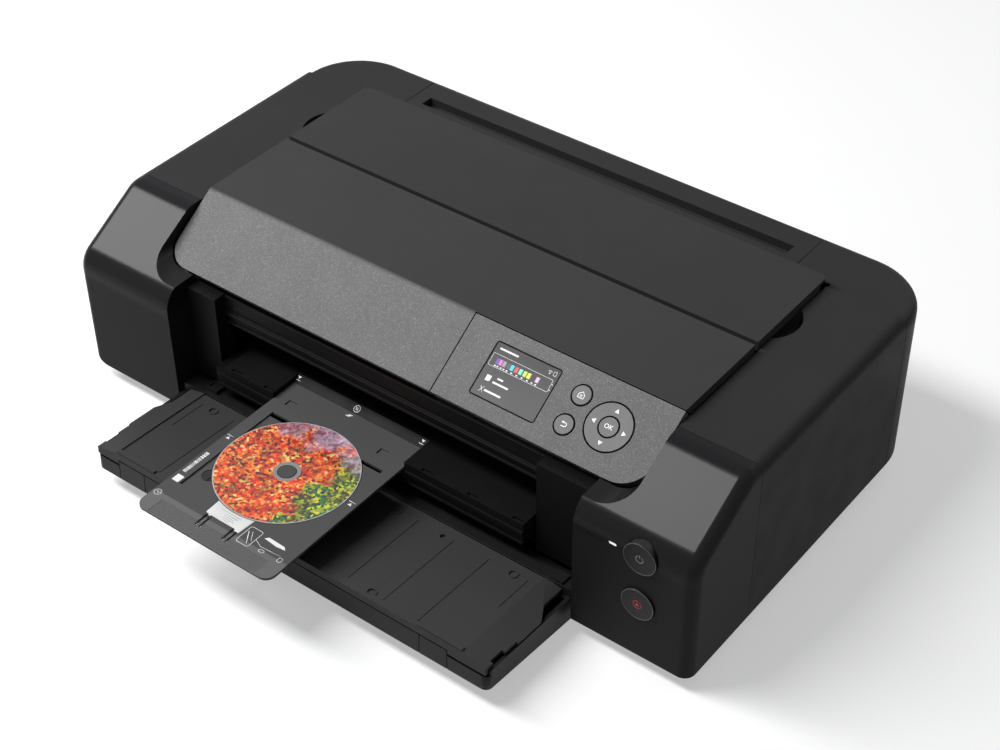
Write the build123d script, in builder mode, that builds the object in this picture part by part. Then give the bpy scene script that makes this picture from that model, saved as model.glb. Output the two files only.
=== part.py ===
"""Wide inkjet photo printer with its output tray open and a disc tray in its guide.

Millimetres, +Z up, front towards -Y. The origin is on the table, under the middle of the whole
object with its trays out.
"""
from build123d import *
import os
from math import atan2, cos, degrees, pi, radians, sin, tan

# Overall sizes
WIDTH = 639.0
DEPTH = 365.0
TOP = 178.5
DISC_TRAY_REACH = 149.0
WALL = 2.5
GAP = 0.3
RUN_FIT = 0.05
FOOT_HEIGHT = 4.0
COVER_BOTTOM = 14.0
HALF_WIDTH = WIDTH / 2
Y_FRONT = (DISC_TRAY_REACH - DEPTH) / 2
Y_BACK = Y_FRONT + DEPTH

# Top lid, top cover and side panels
LID_HALF = HALF_WIDTH - 75.0
LID_SIDE_GAP = 1.5
LID_RIM = 9.0
LID_WALL = 3.0
PANEL_DROP = 7.0
PANEL_TOP = TOP - PANEL_DROP
EDGE_R = 10.0
BEND_BACK = 96.0
SLOPE = 34.0
SLOPE_LENGTH = 73.5
BEND_R = 7.0
COVER_CORNER_R = 22.0
SEAM_BACK = 195.0
SEAM_WIDTH = 4.6
LID_END = 304.0
Y_BEND = Y_FRONT + BEND_BACK
Y_SEAM = Y_FRONT + SEAM_BACK
Y_LID_END = Y_FRONT + LID_END
PANEL_INNER = LID_HALF + LID_SIDE_GAP

# Front side covers
OPENING_HALF = HALF_WIDTH - 108.5
CHAMFER_ANGLE = 31.0
CHAMFER_FOOT = 129.0
CHAMFER_FRONT_R = 24.0
CHAMFER_TOP_R = 25.0
COVER_RUN = 84.0
COVER_SEAM = 0.4
TOE_R = 18.0
SCOOP_LIFT = 24.0
SCOOP_FLARE = 38.0
SCOOP_R = 32.0
Y_COVER_END = Y_FRONT + COVER_RUN

# Rear
REAR_CORNER_R = 60.0
CAP_DROP = 3.0
CAP_HEIGHT = 10.5
CAP_TOP = PANEL_TOP - CAP_DROP
STRIP_HALF = OPENING_HALF - 1.5
STRIP_GAP = 0.5
STRIP_FOOT = 56.0
RECESS_HALF = STRIP_HALF - 14.5
RECESS_BACK = 29.0
RECESS_FRONT = 42.0
RECESS_DEPTH = 8.0
INLET_BOX = ((-HALF_WIDTH + 64.5, 30.0), (-HALF_WIDTH + 100.5, 56.0))
DATA_BOX = ((HALF_WIDTH - 103.5, 30.0), (HALF_WIDTH - 63.5, 52.0))
Y_REAR = Y_BACK - REAR_CORNER_R - 2

# Operation panel
PANEL_LEFT = LID_HALF - 198.5
PANEL_SEAM = 1.1
PANEL_CORNER_R = 28.0
LCD_SIZE = (61.0, 45.5)
LCD_AT = (LID_HALF - 136.3, -36.8)
HOME_AT = (LID_HALF - 80.9, -24.0)
BACK_AT = (LID_HALF - 81.7, -50.4)
RING_AT = (LID_HALF - 48.1, -37.2)
RING_R = 19.4
SMALL_BUTTON_R = 7.9
KEY_GAP = 0.6
KEY_TRAVEL = 0.8
KEY_PROUD = 0.5

# Power and stop buttons
POWER_AT = (HALF_WIDTH - 47.5, 116.5)
STOP_AT = (HALF_WIDTH - 47.5, 69.5)
POWER_BUTTON_R = 14.6
POWER_PROUD = 1.8
POWER_TRAVEL = 1.0
LAMP_AT = (HALF_WIDTH - 72.7, 116.2)
LAMP_SIZE = (7.0, 2.6)

# Output tray, hinged in a barrel at its back
TRAY_TOP = 38.0
TRAY_BOTTOM = 6.0
TRAY_REACH = 100.5
TRAY_HALF = OPENING_HALF - 3.5
TRAY_PLATE = 6.5
TRAY_PIVOT_BACK = 16.0
TRAY_PIVOT_Z = 22.0
TRAY_PIN_R = 2.5
TRAY_SPLIT = 4.0
TRAY_TILT = 3.0
TRAY_RISE = 5.5
WING_WIDTH = 24.5
WING_DROP = 4.5

# Disc, disc tray and its guide
DISC_PLANE = 68.0
DISC_TRAY_X = -35.0
DISC_TRAY_WIDTH = 142.0
DISC_TRAY_LENGTH = 245.0
DISC_TRAY_THICK = 2.4
DISC_BACK = -49.0
DISC_R = 60.0
DISC_THICK = 1.2
DISC_HOLE_R = 7.5
GUIDE_LEFT = -OPENING_HALF + 35.0
GUIDE_RIGHT = OPENING_HALF - 55.0
GUIDE_FRONT = 10.4
GUIDE_LENGTH = 53.0
PLATFORM_TOP = DISC_PLANE + 5.0
PLATFORM_LEFT = GUIDE_LEFT + 14.0
GUIDE_TOP = DISC_PLANE - DISC_TRAY_THICK - GAP
GUIDE_FOOT = 52.0

# Inner case
BASE_INSET = 24.0
BASE_FRONT = 34.0
BASE_FLOOR = 3.0
FLANGE_LOW = 16.0
FLANGE_TOP = 19.0
BEZEL_BACK = 37.0
BEZEL_THICK = 5.0
BLOCK_BACK = 25.0
BLOCK_TOP = 129.0
FRAME_LOW = 154.0
FRAME_TOP = 158.0
CHASSIS_X = HALF_WIDTH - 29.0
CHASSIS_THICK = 1.5

# Paper path
OUTPUT_BACK = 96.0
FEED_BACK = 211.0
ROLLER_R = 8.0
SHAFT_R = 4.0
ROLLER_Z = GUIDE_TOP - ROLLER_R
GEAR_MODULE = 1.25
ROLLER_TEETH = 48
IDLER_TEETH = 44
PINION_TEETH = 16
GEAR_FACE = 8.0
GEAR_X = CHASSIS_X + 4.0
PLATEN_HALF = 185.0
HOPPER_HALF = 180.0
HOPPER_ANGLE = 50.0
HOPPER_FOOT = (222.0, 80.0)
HOPPER_LENGTH = 88.0
PICKUP_R = 14.0
GUIDE_PLATE_X = HOPPER_HALF - 14.0

# Print carriage
ROD_BACK = 172.0
ROD_Z = 96.0
ROD_R = 5.0
RAIL_BACK = 200.0
CARRIAGE_X = CHASSIS_X - 77.5
CARRIAGE_WIDTH = 148.0
CARRIAGE_FRONT = 108.0
CARRIAGE_END = 160.0
CARRIAGE_LOW = 84.0
CARRIAGE_TOP = 148.0
TANKS = 10
TANK_PITCH = 13.8
HEAD_LOW = 70.5
PULLEY_R = 8.0
PULLEY_X = CHASSIS_X - 22.5
BELT_Z = 128.0
BELT_BACK = 186.5
BELT_WIDTH = 6.0
BELT_THICK = 1.4

slope_plane = Plane(
    origin=(0, Y_BEND, TOP),
    x_dir=(1, 0, 0),
    z_dir=(0, -sin(radians(SLOPE)), cos(radians(SLOPE))),
)
os.makedirs("parts", exist_ok=True)


def block(low, high, mode=Mode.ADD):
    """Box between two corners."""
    middle = [(a + b) / 2 for a, b in zip(low, high)]
    with Locations(tuple(middle)):
        Box(*[b - a for a, b in zip(low, high)], mode=mode)


def rod_x(start, end, y, z, radius, mode=Mode.ADD):
    """Cylinder along X."""
    with Locations(Location(((start + end) / 2, y, z), (0, 90, 0))):
        Cylinder(radius, end - start, mode=mode)


def rod_y(start, end, x, z, radius, mode=Mode.ADD):
    """Cylinder along Y."""
    with Locations(Location((x, (start + end) / 2, z), (90, 0, 0))):
        Cylinder(radius, end - start, mode=mode)


def rod_z(start, end, x, y, radius, mode=Mode.ADD):
    """Cylinder along Z."""
    with Locations((x, y, (start + end) / 2)):
        Cylinder(radius, end - start, mode=mode)


def save(piece, name):
    """Label a piece and write its file."""
    piece.label = name
    export_step(piece, f"parts/{name}.step")


def mirrored(piece):
    """The same piece on the other side of the middle."""
    return piece.mirror(Plane.YZ)


# Front side covers: a sloped shoulder, a scoop beside the top cover and a wall along the opening
def cover_outline(inset, low):
    """Side view of a front cover, drawn in by an inset."""
    angle = radians(CHAMFER_ANGLE)
    drop = inset / cos(angle)
    foot = (Y_FRONT + inset, CHAMFER_FOOT - drop + inset * tan(angle))
    crest_z = PANEL_TOP - inset
    crest = (Y_FRONT + (crest_z - CHAMFER_FOOT + drop) / tan(angle), crest_z)
    back = Y_COVER_END + inset
    FilletPolyline(
        (Y_FRONT + inset, low), foot, crest, (back, crest_z),
        radius=[CHAMFER_FRONT_R - inset, CHAMFER_TOP_R - inset],
    )
    Polyline((back, crest_z), (back, low), (Y_FRONT + inset, low))


def scoop_outline(grow, out, flare, corner):
    """Outline of the pocket round the corner of the top cover, on the slope."""
    side = PANEL_INNER + out + grow
    low = -SLOPE_LENGTH - LID_SIDE_GAP - flare - grow
    inner, high = OPENING_HALF - 30, 45
    FilletPolyline((side, high), (side, low), (inner, low), radius=corner + grow)
    Polyline((inner, low), (inner, high), (side, high))


def scoop(grow):
    """The pocket as a solid: straight beside the top cover, flared above it."""
    depth = LID_RIM + GAP + grow
    with BuildPart() as pocket:
        with BuildSketch(slope_plane.offset(-depth)):
            with BuildLine():
                scoop_outline(grow, 0, 0, COVER_CORNER_R)
            make_face()
        extrude(amount=depth)
        with BuildSketch(slope_plane):
            with BuildLine():
                scoop_outline(grow, 0, 0, COVER_CORNER_R)
            make_face()
        with BuildSketch(slope_plane.offset(SCOOP_LIFT)):
            with BuildLine():
                scoop_outline(grow, 1, SCOOP_FLARE, SCOOP_R)
            make_face()
        loft(ruled=True)
    return pocket.part


def front_cover():
    """Right front cover, without its button holes."""
    with BuildPart() as hollow:
        with BuildSketch(Plane.YZ.offset(OPENING_HALF + WALL)):
            with BuildLine():
                cover_outline(WALL, COVER_BOTTOM - 1)
            make_face()
        extrude(amount=HALF_WIDTH - OPENING_HALF - 2 * WALL)
        fillet(outer_edges(hollow.part, COVER_BOTTOM - 1, Y_COVER_END + WALL), EDGE_R - WALL)
        add(scoop(WALL), mode=Mode.SUBTRACT)
    with BuildPart() as cover:
        with BuildSketch(Plane.YZ.offset(OPENING_HALF)):
            with BuildLine():
                cover_outline(0, COVER_BOTTOM)
            make_face()
        extrude(amount=HALF_WIDTH - OPENING_HALF)
        fillet(outer_edges(cover.part, COVER_BOTTOM, Y_COVER_END), EDGE_R)
        add(scoop(0), mode=Mode.SUBTRACT)
        add(hollow.part, mode=Mode.SUBTRACT)
    return cover.part


def outer_edges(piece, low, back):
    """Edges of the outer side face, apart from its lower and back edges."""
    side = piece.edges().group_by(Axis.X)[-1]
    return [e for e in side if e.center().Z > low + 0.5 and e.center().Y < back - 0.5]


right_cover_shell = front_cover()
board_left = HALF_WIDTH - 79.5
board_right = HALF_WIDTH - 13.5
board_posts = [(x, z) for x in (board_left + 6, board_right - 6) for z in (50, 92)]
board_back = 18.0
with BuildPart() as right_front_cover:
    add(right_cover_shell)
    for x, z in (POWER_AT, STOP_AT):
        rod_y(Y_FRONT - 2, Y_FRONT + 14, x, z, POWER_BUTTON_R + GAP, Mode.SUBTRACT)
    with BuildSketch(Plane.XZ.offset(-Y_FRONT + 2)):
        with Locations(LAMP_AT):
            SlotOverall(LAMP_SIZE[0] + GAP, LAMP_SIZE[1] + GAP)
    extrude(amount=-10, mode=Mode.SUBTRACT)
    for x, z in board_posts:
        rod_y(Y_FRONT + WALL - 0.5, Y_FRONT + board_back, x, z, 3)
    rod_x(OPENING_HALF - 1, OPENING_HALF + WALL + 1, Y_FRONT + TRAY_PIVOT_BACK, TRAY_PIVOT_Z,
          TRAY_PIN_R + RUN_FIT, Mode.SUBTRACT)
save(right_front_cover.part, "right_front_cover")

with BuildPart() as left_front_cover:
    add(mirrored(right_cover_shell))
    with BuildSketch(Plane.XZ.offset(-Y_FRONT + 2)):
        with Locations((-HALF_WIDTH + TOE_R / 2, COVER_BOTTOM + TOE_R / 2)):
            Rectangle(TOE_R, TOE_R)
        with Locations((-HALF_WIDTH + TOE_R, COVER_BOTTOM + TOE_R)):
            Circle(TOE_R, mode=Mode.SUBTRACT)
    extrude(amount=-COVER_RUN - 4, mode=Mode.SUBTRACT)
    rod_x(-OPENING_HALF - WALL - 1, -OPENING_HALF + 1, Y_FRONT + TRAY_PIVOT_BACK, TRAY_PIVOT_Z,
          TRAY_PIN_R + RUN_FIT, Mode.SUBTRACT)
save(left_front_cover.part, "left_front_cover")

# Side panels: top and side in one shell, with a lip beside the lid and a finger scoop
finger_scoop_y = Y_FRONT + 238
finger_scoop_r = 29.5
finger_scoop_reach = 11.0
with BuildPart() as right_side_panel:
    y_start = Y_COVER_END + COVER_SEAM
    with BuildSketch(Plane.XZ.offset(-y_start)):
        with BuildLine():
            FilletPolyline((HALF_WIDTH, COVER_BOTTOM), (HALF_WIDTH, PANEL_TOP),
                           (PANEL_INNER, PANEL_TOP), radius=EDGE_R)
            Polyline((PANEL_INNER, PANEL_TOP), (PANEL_INNER, FRAME_TOP),
                     (PANEL_INNER + WALL, FRAME_TOP), (PANEL_INNER + WALL, PANEL_TOP - WALL))
            FilletPolyline((PANEL_INNER + WALL, PANEL_TOP - WALL),
                           (HALF_WIDTH - WALL, PANEL_TOP - WALL),
                           (HALF_WIDTH - WALL, COVER_BOTTOM), radius=EDGE_R - WALL)
            Line((HALF_WIDTH - WALL, COVER_BOTTOM), (HALF_WIDTH, COVER_BOTTOM))
        make_face()
    extrude(amount=-(Y_REAR - COVER_SEAM - y_start))
    cap_front = Y_LID_END - 4
    block((PANEL_INNER - 1, cap_front, CAP_TOP - CAP_HEIGHT), (HALF_WIDTH + 1, Y_REAR + 1, TOP),
          Mode.SUBTRACT)
    with BuildSketch(Plane.XY.offset(FRAME_TOP)):
        with Locations((PANEL_INNER - finger_scoop_r + finger_scoop_reach + WALL, finger_scoop_y)):
            Circle(finger_scoop_r)
        with Locations((PANEL_INNER - 50, finger_scoop_y)):
            Rectangle(100, 80, mode=Mode.SUBTRACT)
    extrude(amount=PANEL_TOP - FRAME_TOP)
    with BuildSketch(Plane.XY.offset(FRAME_TOP + 2)):
        with Locations((PANEL_INNER - finger_scoop_r + finger_scoop_reach, finger_scoop_y)):
            Circle(finger_scoop_r)
    extrude(amount=PANEL_TOP, mode=Mode.SUBTRACT)
save(right_side_panel.part, "right_side_panel")
save(mirrored(right_side_panel.part), "left_side_panel")


# Rear cover: the lower back with its round corners, open in the middle for the manual feed cover
def rear_plan(inset, front):
    """Plan of the back of the case, drawn in by an inset."""
    side, back = HALF_WIDTH - inset, Y_BACK - inset
    FilletPolyline((-side, front), (-side, back), (side, back), (side, front),
                   radius=REAR_CORNER_R - inset)
    Line((side, front), (-side, front))


cap_low = CAP_TOP - CAP_HEIGHT
strip_axis_back = 4.5
strip_barrel_r = 3.8
strip_axis_z = STRIP_FOOT + 2
strip_wall_top = STRIP_FOOT - 2.8
jamb_depth = 24.0
strip_pin_r = 1.5
with BuildPart() as rear_cover:
    with BuildSketch(Plane.XY.offset(COVER_BOTTOM)):
        with BuildLine():
            rear_plan(0, Y_REAR)
        make_face()
    extrude(amount=cap_low - COVER_SEAM - COVER_BOTTOM)
    with BuildSketch(Plane.XY.offset(COVER_BOTTOM - 1)):
        with BuildLine():
            rear_plan(WALL, Y_REAR - 2)
        make_face()
    extrude(amount=CAP_TOP, mode=Mode.SUBTRACT)
    block((-STRIP_HALF - STRIP_GAP, Y_BACK - 10, strip_wall_top),
          (STRIP_HALF + STRIP_GAP, Y_BACK + 1, CAP_TOP), Mode.SUBTRACT)
    for side in (-1, 1):
        inner = side * (STRIP_HALF + STRIP_GAP)
        outer = side * (STRIP_HALF + STRIP_GAP + WALL)
        block((min(inner, outer), Y_BACK - jamb_depth, FLANGE_TOP),
              (max(inner, outer), Y_BACK - WALL / 2, cap_low - COVER_SEAM))
        rod_x(min(inner, outer) - 1, max(inner, outer) + 1, Y_BACK - strip_axis_back,
              strip_axis_z, strip_pin_r, Mode.SUBTRACT)
    for low, high in (INLET_BOX, DATA_BOX):
        block((low[0], Y_BACK - WALL - 1, low[1]), (high[0], Y_BACK + 1, high[1]), Mode.SUBTRACT)
save(rear_cover.part, "rear_cover")

# Rear caps: the two round top corners behind the side panels
with BuildPart() as rear_cap_right:
    with BuildSketch(Plane.XY.offset(cap_low)):
        with BuildLine():
            rear_plan(0, cap_front + COVER_SEAM)
        make_face()
    extrude(amount=CAP_HEIGHT)
    fillet([e for e in rear_cap_right.edges().group_by(Axis.Z)[-1]
            if e.center().Y > cap_front + COVER_SEAM + 0.5], EDGE_R - 1)
    with BuildSketch(Plane.XY.offset(cap_low - 1)):
        with BuildLine():
            rear_plan(WALL, cap_front + COVER_SEAM + WALL)
        make_face()
    extrude(amount=CAP_HEIGHT - WALL + 1, mode=Mode.SUBTRACT)
    block((-HALF_WIDTH - 1, Y_FRONT, 0), (STRIP_HALF + STRIP_GAP, Y_BACK + 1, TOP), Mode.SUBTRACT)
    cap_lip = STRIP_HALF + STRIP_GAP
    block((cap_lip, Y_LID_END + 4, cap_low), (cap_lip + WALL, Y_BACK - EDGE_R, CAP_TOP - 1))
    block((cap_lip - 1, Y_FRONT, cap_low - 1), (PANEL_INNER, Y_LID_END + 4, TOP), Mode.SUBTRACT)
with BuildPart() as rear_caps:
    add(rear_cap_right.part)
    add(mirrored(rear_cap_right.part))
save(rear_caps.part, "rear_caps")

# Manual feed cover: back panel and top strip in one, hinged at its foot
with BuildPart() as manual_feed_cover:
    strip_front = Y_LID_END + 3
    with BuildSketch(Plane.YZ.offset(-STRIP_HALF)):
        with BuildLine():
            FilletPolyline((strip_front, CAP_TOP), (Y_BACK, CAP_TOP), (Y_BACK, STRIP_FOOT),
                           radius=EDGE_R - 1)
            Polyline((Y_BACK, STRIP_FOOT), (Y_BACK - WALL, STRIP_FOOT))
            FilletPolyline((Y_BACK - WALL, STRIP_FOOT), (Y_BACK - WALL, CAP_TOP - WALL),
                           (strip_front, CAP_TOP - WALL), radius=EDGE_R - 1 - WALL)
            Line((strip_front, CAP_TOP - WALL), (strip_front, CAP_TOP))
        make_face()
    extrude(amount=2 * STRIP_HALF)
    recess_back = Y_BACK - RECESS_BACK
    recess_front = Y_BACK - RECESS_FRONT
    block((-RECESS_HALF - WALL, recess_front - WALL, CAP_TOP - RECESS_DEPTH - WALL),
          (RECESS_HALF + WALL, recess_back + WALL, CAP_TOP - WALL))
    block((-RECESS_HALF, recess_front, CAP_TOP - RECESS_DEPTH),
          (RECESS_HALF, recess_back, CAP_TOP + 1), Mode.SUBTRACT)
    for x in (-STRIP_HALF, STRIP_HALF - 6):
        rod_x(x, x + 6, Y_BACK - strip_axis_back, strip_axis_z, strip_barrel_r)
        block((x, Y_BACK - strip_axis_back, strip_axis_z), (x + 6, Y_BACK - 1, strip_axis_z + 8))
    for x in (-STRIP_HALF - 1, STRIP_HALF - 7):
        rod_x(x, x + 8, Y_BACK - strip_axis_back, strip_axis_z, strip_pin_r + RUN_FIT,
              Mode.SUBTRACT)
save(manual_feed_cover.part, "manual_feed_cover")


# Top cover: flat top and sloped front in one shell, cut away for the operation panel
def slab_outline(depth, thick, length, back, bend_r):
    """Side view of a slab that follows the top and the slope, from a depth down."""
    slope = radians(SLOPE)

    def bend(t):
        return (Y_BEND + t * tan(slope / 2), TOP - t)

    def foot(t):
        return (Y_BEND - length * cos(slope) + t * sin(slope),
                TOP - length * sin(slope) - t * cos(slope))

    low = depth + thick
    FilletPolyline((back, TOP - depth), bend(depth), foot(depth), radius=bend_r)
    Line(foot(depth), foot(low))
    FilletPolyline(foot(low), bend(low), (back, TOP - low), radius=bend_r)
    Line((back, TOP - low), (back, TOP - depth))


y_cover_back = Y_SEAM - SEAM_WIDTH / 2
cover_pivot = (y_cover_back - 6.2, TOP - 6.4)
lid_pivot = (Y_LID_END - 4, TOP - 6.4)
hinge_pin_r = 1.5
knuckle_r = 3.1
cover_knuckles = LID_HALF - 39.5
lid_knuckles = 150.0
stem_back = 1.0


def cover_slab(left, right, depth, thick, length, back, corner):
    """Slab over the top and slope, with its lower left corner rounded."""
    with BuildPart() as slab:
        with BuildSketch(Plane.YZ.offset(left)):
            with BuildLine():
                slab_outline(depth, thick, length, back, BEND_R)
            make_face()
        extrude(amount=right - left)
        ends = [e for e in slab.edges() if abs(e.length - thick) < 0.01
                and e.center().X < left + 0.1 and e.center().Y < Y_BEND - 20]
        fillet(ends, corner)
    return slab.part


def knuckle(x, width, pivot, mode=Mode.ADD):
    """Hinge knuckle under a top plate, round a pin along X."""
    rod_x(x, x + width, pivot[0], pivot[1], knuckle_r, mode)
    block((x, pivot[0] - knuckle_r, pivot[1]), (x + width, pivot[0] + knuckle_r, TOP - LID_WALL + 0.5))


with BuildPart() as top_cover:
    add(cover_slab(-LID_HALF, LID_HALF, 0, LID_RIM, SLOPE_LENGTH, y_cover_back, COVER_CORNER_R))
    with BuildSketch(slope_plane.offset(-LID_RIM - 20)):
        with Locations((PANEL_LEFT, -SLOPE_LENGTH - 20)):
            Rectangle(LID_HALF - PANEL_LEFT + 10, SLOPE_LENGTH + 20,
                      align=(Align.MIN, Align.MIN))
    extrude(amount=LID_RIM + 40, mode=Mode.SUBTRACT)
    add(cover_slab(-LID_HALF + LID_WALL, PANEL_LEFT - LID_WALL, LID_WALL, LID_RIM,
                   SLOPE_LENGTH - LID_WALL, y_cover_back - LID_WALL, COVER_CORNER_R - LID_WALL),
        mode=Mode.SUBTRACT)
    block((PANEL_LEFT - LID_WALL - 1, Y_BEND + LID_RIM, TOP - LID_RIM - 1),
          (LID_HALF - LID_WALL, y_cover_back - LID_WALL, TOP - LID_WALL), Mode.SUBTRACT)
    for side in (-1, 1):
        knuckle(side * cover_knuckles - 3, 6, cover_pivot)
        rod_x(side * cover_knuckles - 4, side * cover_knuckles + 4, *cover_pivot,
              hinge_pin_r + RUN_FIT, Mode.SUBTRACT)
save(top_cover.part, "top_cover")

# Rear tray lid: covers the sheet feeder and leans back behind the sheets when open
support_half = 100.0
support_thick = 2.4
support_top = TOP - LID_RIM - 1.0
support_rail = 5.0
y_lid_front = Y_SEAM + SEAM_WIDTH / 2
with BuildPart() as rear_tray_lid:
    block((-LID_HALF, y_lid_front, TOP - LID_RIM), (LID_HALF, Y_LID_END, TOP))
    fillet(rear_tray_lid.edges().filter_by(Axis.Z).group_by(Axis.Y)[-1], 6)
    block((-LID_HALF + LID_WALL, y_lid_front + LID_WALL, TOP - LID_RIM - 1),
          (LID_HALF - LID_WALL, Y_LID_END - 10, TOP - LID_WALL), Mode.SUBTRACT)
    block((-LID_HALF - 1, Y_LID_END - 11, TOP - LID_RIM - 1), (LID_HALF + 1, Y_LID_END + 1, TOP - LID_WALL),
          Mode.SUBTRACT)
    for side in (-1, 1):
        knuckle(side * lid_knuckles - 3, 6, lid_pivot)
        rod_x(side * lid_knuckles - 4, side * lid_knuckles + 4, *lid_pivot,
              hinge_pin_r + RUN_FIT, Mode.SUBTRACT)
        edge = side * (support_half + GAP)
        tip = side * (support_half + GAP + 3)
        hook = side * (support_half - support_rail)
        rail = (y_lid_front + LID_WALL - 0.5, Y_LID_END - 14)
        block((min(edge, tip), rail[0], support_top - support_thick - GAP - 2),
              (max(edge, tip), rail[1], TOP - LID_WALL + 0.5))
        block((min(hook, tip), rail[0] + 20, support_top - support_thick - GAP - 2),
              (max(hook, tip), rail[1], support_top - support_thick - GAP))
save(rear_tray_lid.part, "rear_tray_lid")

# Paper support: a plate that draws out of the lid
with BuildPart() as paper_support:
    block((-support_half, y_lid_front + 8, support_top - support_thick),
          (support_half, Y_LID_END - 16, support_top))
    with Locations((0, y_lid_front + 50, support_top)):
        Box(2 * support_half - 40, 30, support_thick, mode=Mode.SUBTRACT)
save(paper_support.part, "paper_support")

# Hinge brackets for cover and lid, standing on the upper frame, and their pins
with BuildPart() as hinge_brackets:
    for spot, pivot in ((cover_knuckles, cover_pivot), (lid_knuckles, lid_pivot)):
        for side in (-1, 1):
            for start in (side * spot - 7.5, side * spot + 3.5):
                rod_x(start, start + 4, *pivot, knuckle_r - GAP)
                block((start, pivot[0] - knuckle_r + GAP, FRAME_TOP),
                      (start + 4, pivot[0] - stem_back, pivot[1]))
            rod_x(side * spot - 9, side * spot + 9, *pivot, hinge_pin_r, Mode.SUBTRACT)
save(hinge_brackets.part, "hinge_brackets")

with BuildPart() as hinge_pins:
    for spot, pivot in ((cover_knuckles, cover_pivot), (lid_knuckles, lid_pivot)):
        for side in (-1, 1):
            rod_x(side * spot - 7.5, side * spot + 7.5, *pivot, hinge_pin_r)
    for side in (-1, 1):
        ends = sorted((side * (TRAY_HALF - 8), side * (OPENING_HALF + WALL)))
        rod_x(*ends, Y_FRONT + TRAY_PIVOT_BACK, TRAY_PIVOT_Z, TRAY_PIN_R)
        ends = sorted((side * (STRIP_HALF - 6), side * (STRIP_HALF + STRIP_GAP + WALL)))
        rod_x(*ends, Y_BACK - strip_axis_back, strip_axis_z, strip_pin_r)
save(hinge_pins.part, "hinge_pins")

# Operation panel on the slope, with its screen and keys
key_board_low = -LID_RIM
key_board_thick = 1.5
with BuildPart() as operation_panel:
    left = PANEL_LEFT + PANEL_SEAM
    with BuildSketch(slope_plane.offset(-LID_RIM)):
        with BuildLine():
            FilletPolyline((left, -PANEL_SEAM), (LID_HALF, -PANEL_SEAM), (LID_HALF, -SLOPE_LENGTH),
                           (left, -SLOPE_LENGTH), radius=[0.6, PANEL_CORNER_R])
            Line((left, -SLOPE_LENGTH), (left, -PANEL_SEAM))
        make_face()
    extrude(amount=LID_RIM)
    with BuildSketch(slope_plane.offset(-LID_RIM - 1)):
        with BuildLine():
            FilletPolyline((left + LID_WALL, -PANEL_SEAM - LID_WALL),
                           (LID_HALF - LID_WALL, -PANEL_SEAM - LID_WALL),
                           (LID_HALF - LID_WALL, -SLOPE_LENGTH + LID_WALL),
                           (left + LID_WALL, -SLOPE_LENGTH + LID_WALL),
                           radius=[0.6, PANEL_CORNER_R - LID_WALL])
            Line((left + LID_WALL, -SLOPE_LENGTH + LID_WALL), (left + LID_WALL, -PANEL_SEAM - LID_WALL))
        make_face()
    extrude(amount=LID_RIM + 1 - LID_WALL, mode=Mode.SUBTRACT)
    with BuildSketch(slope_plane.offset(-LID_RIM)):
        with Locations(LCD_AT):
            RectangleRounded(LCD_SIZE[0] + GAP, LCD_SIZE[1] + GAP, 2)
        with Locations(HOME_AT, BACK_AT):
            Circle(SMALL_BUTTON_R + KEY_GAP)
        with Locations(RING_AT):
            Circle(RING_R + KEY_GAP)
    extrude(amount=LID_RIM + 1, mode=Mode.SUBTRACT)
save(operation_panel.part, "operation_panel")

with BuildPart() as lcd_screen:
    with BuildSketch(slope_plane.offset(-LID_RIM)):
        with Locations(LCD_AT):
            RectangleRounded(*LCD_SIZE, 2)
    extrude(amount=LID_RIM - 0.2)
save(lcd_screen.part, "lcd_screen")

key_stem_low = key_board_low + key_board_thick + KEY_TRAVEL + 0.2


def round_key(spot, radius):
    """Round key with its stem, on the slope."""
    with BuildPart() as key:
        with BuildSketch(slope_plane.offset(-LID_WALL + 0.2)):
            with Locations(spot):
                Circle(radius)
        extrude(amount=LID_WALL - 0.2 + KEY_PROUD)
        top_edge = key.edges().filter_by(GeomType.CIRCLE).sort_by(Axis((0, 0, 0), tuple(slope_plane.z_dir)))[-1]
        fillet(top_edge, 0.3)
        with BuildSketch(slope_plane.offset(key_stem_low)):
            with Locations(spot):
                Circle(2)
        extrude(amount=-LID_WALL + 0.3 - key_stem_low)
    return key.part


save(round_key(HOME_AT, SMALL_BUTTON_R), "home_button")
save(round_key(BACK_AT, SMALL_BUTTON_R), "back_button")
save(round_key(RING_AT, SMALL_BUTTON_R), "ok_button")

with BuildPart() as arrow_ring:
    with BuildSketch(slope_plane.offset(-LID_WALL + 0.2)):
        with Locations(RING_AT):
            Circle(RING_R)
            Circle(SMALL_BUTTON_R + KEY_GAP, mode=Mode.SUBTRACT)
    extrude(amount=LID_WALL - 0.2 + KEY_PROUD / 2)
    with BuildSketch(slope_plane.offset(key_stem_low)):
        with Locations(RING_AT):
            with PolarLocations(13.5, 4):
                Circle(1.5)
    extrude(amount=-LID_WALL + 0.3 - key_stem_low)
save(arrow_ring.part, "arrow_ring")

# Bracket under the operation panel, bent down to stand on the upper frame
bracket_thick = 2.5
bracket_low = LID_RIM + bracket_thick
foot_back = Y_BEND + 9
with BuildPart() as panel_bracket:
    with BuildSketch(Plane.YZ.offset(PANEL_LEFT + 2)):
        with BuildLine():
            slab_outline(LID_RIM, bracket_thick, SLOPE_LENGTH, foot_back, BEND_R)
        make_face()
    extrude(amount=OPENING_HALF - GAP - PANEL_LEFT - 2)
    block((PANEL_LEFT + 2, foot_back - bracket_thick, FRAME_TOP),
          (OPENING_HALF - GAP, foot_back, TOP - LID_RIM - 1))
bracket_foot_z = TOP - SLOPE_LENGTH * sin(radians(SLOPE)) - bracket_low * cos(radians(SLOPE))
save(panel_bracket.part, "panel_bracket")

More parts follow.
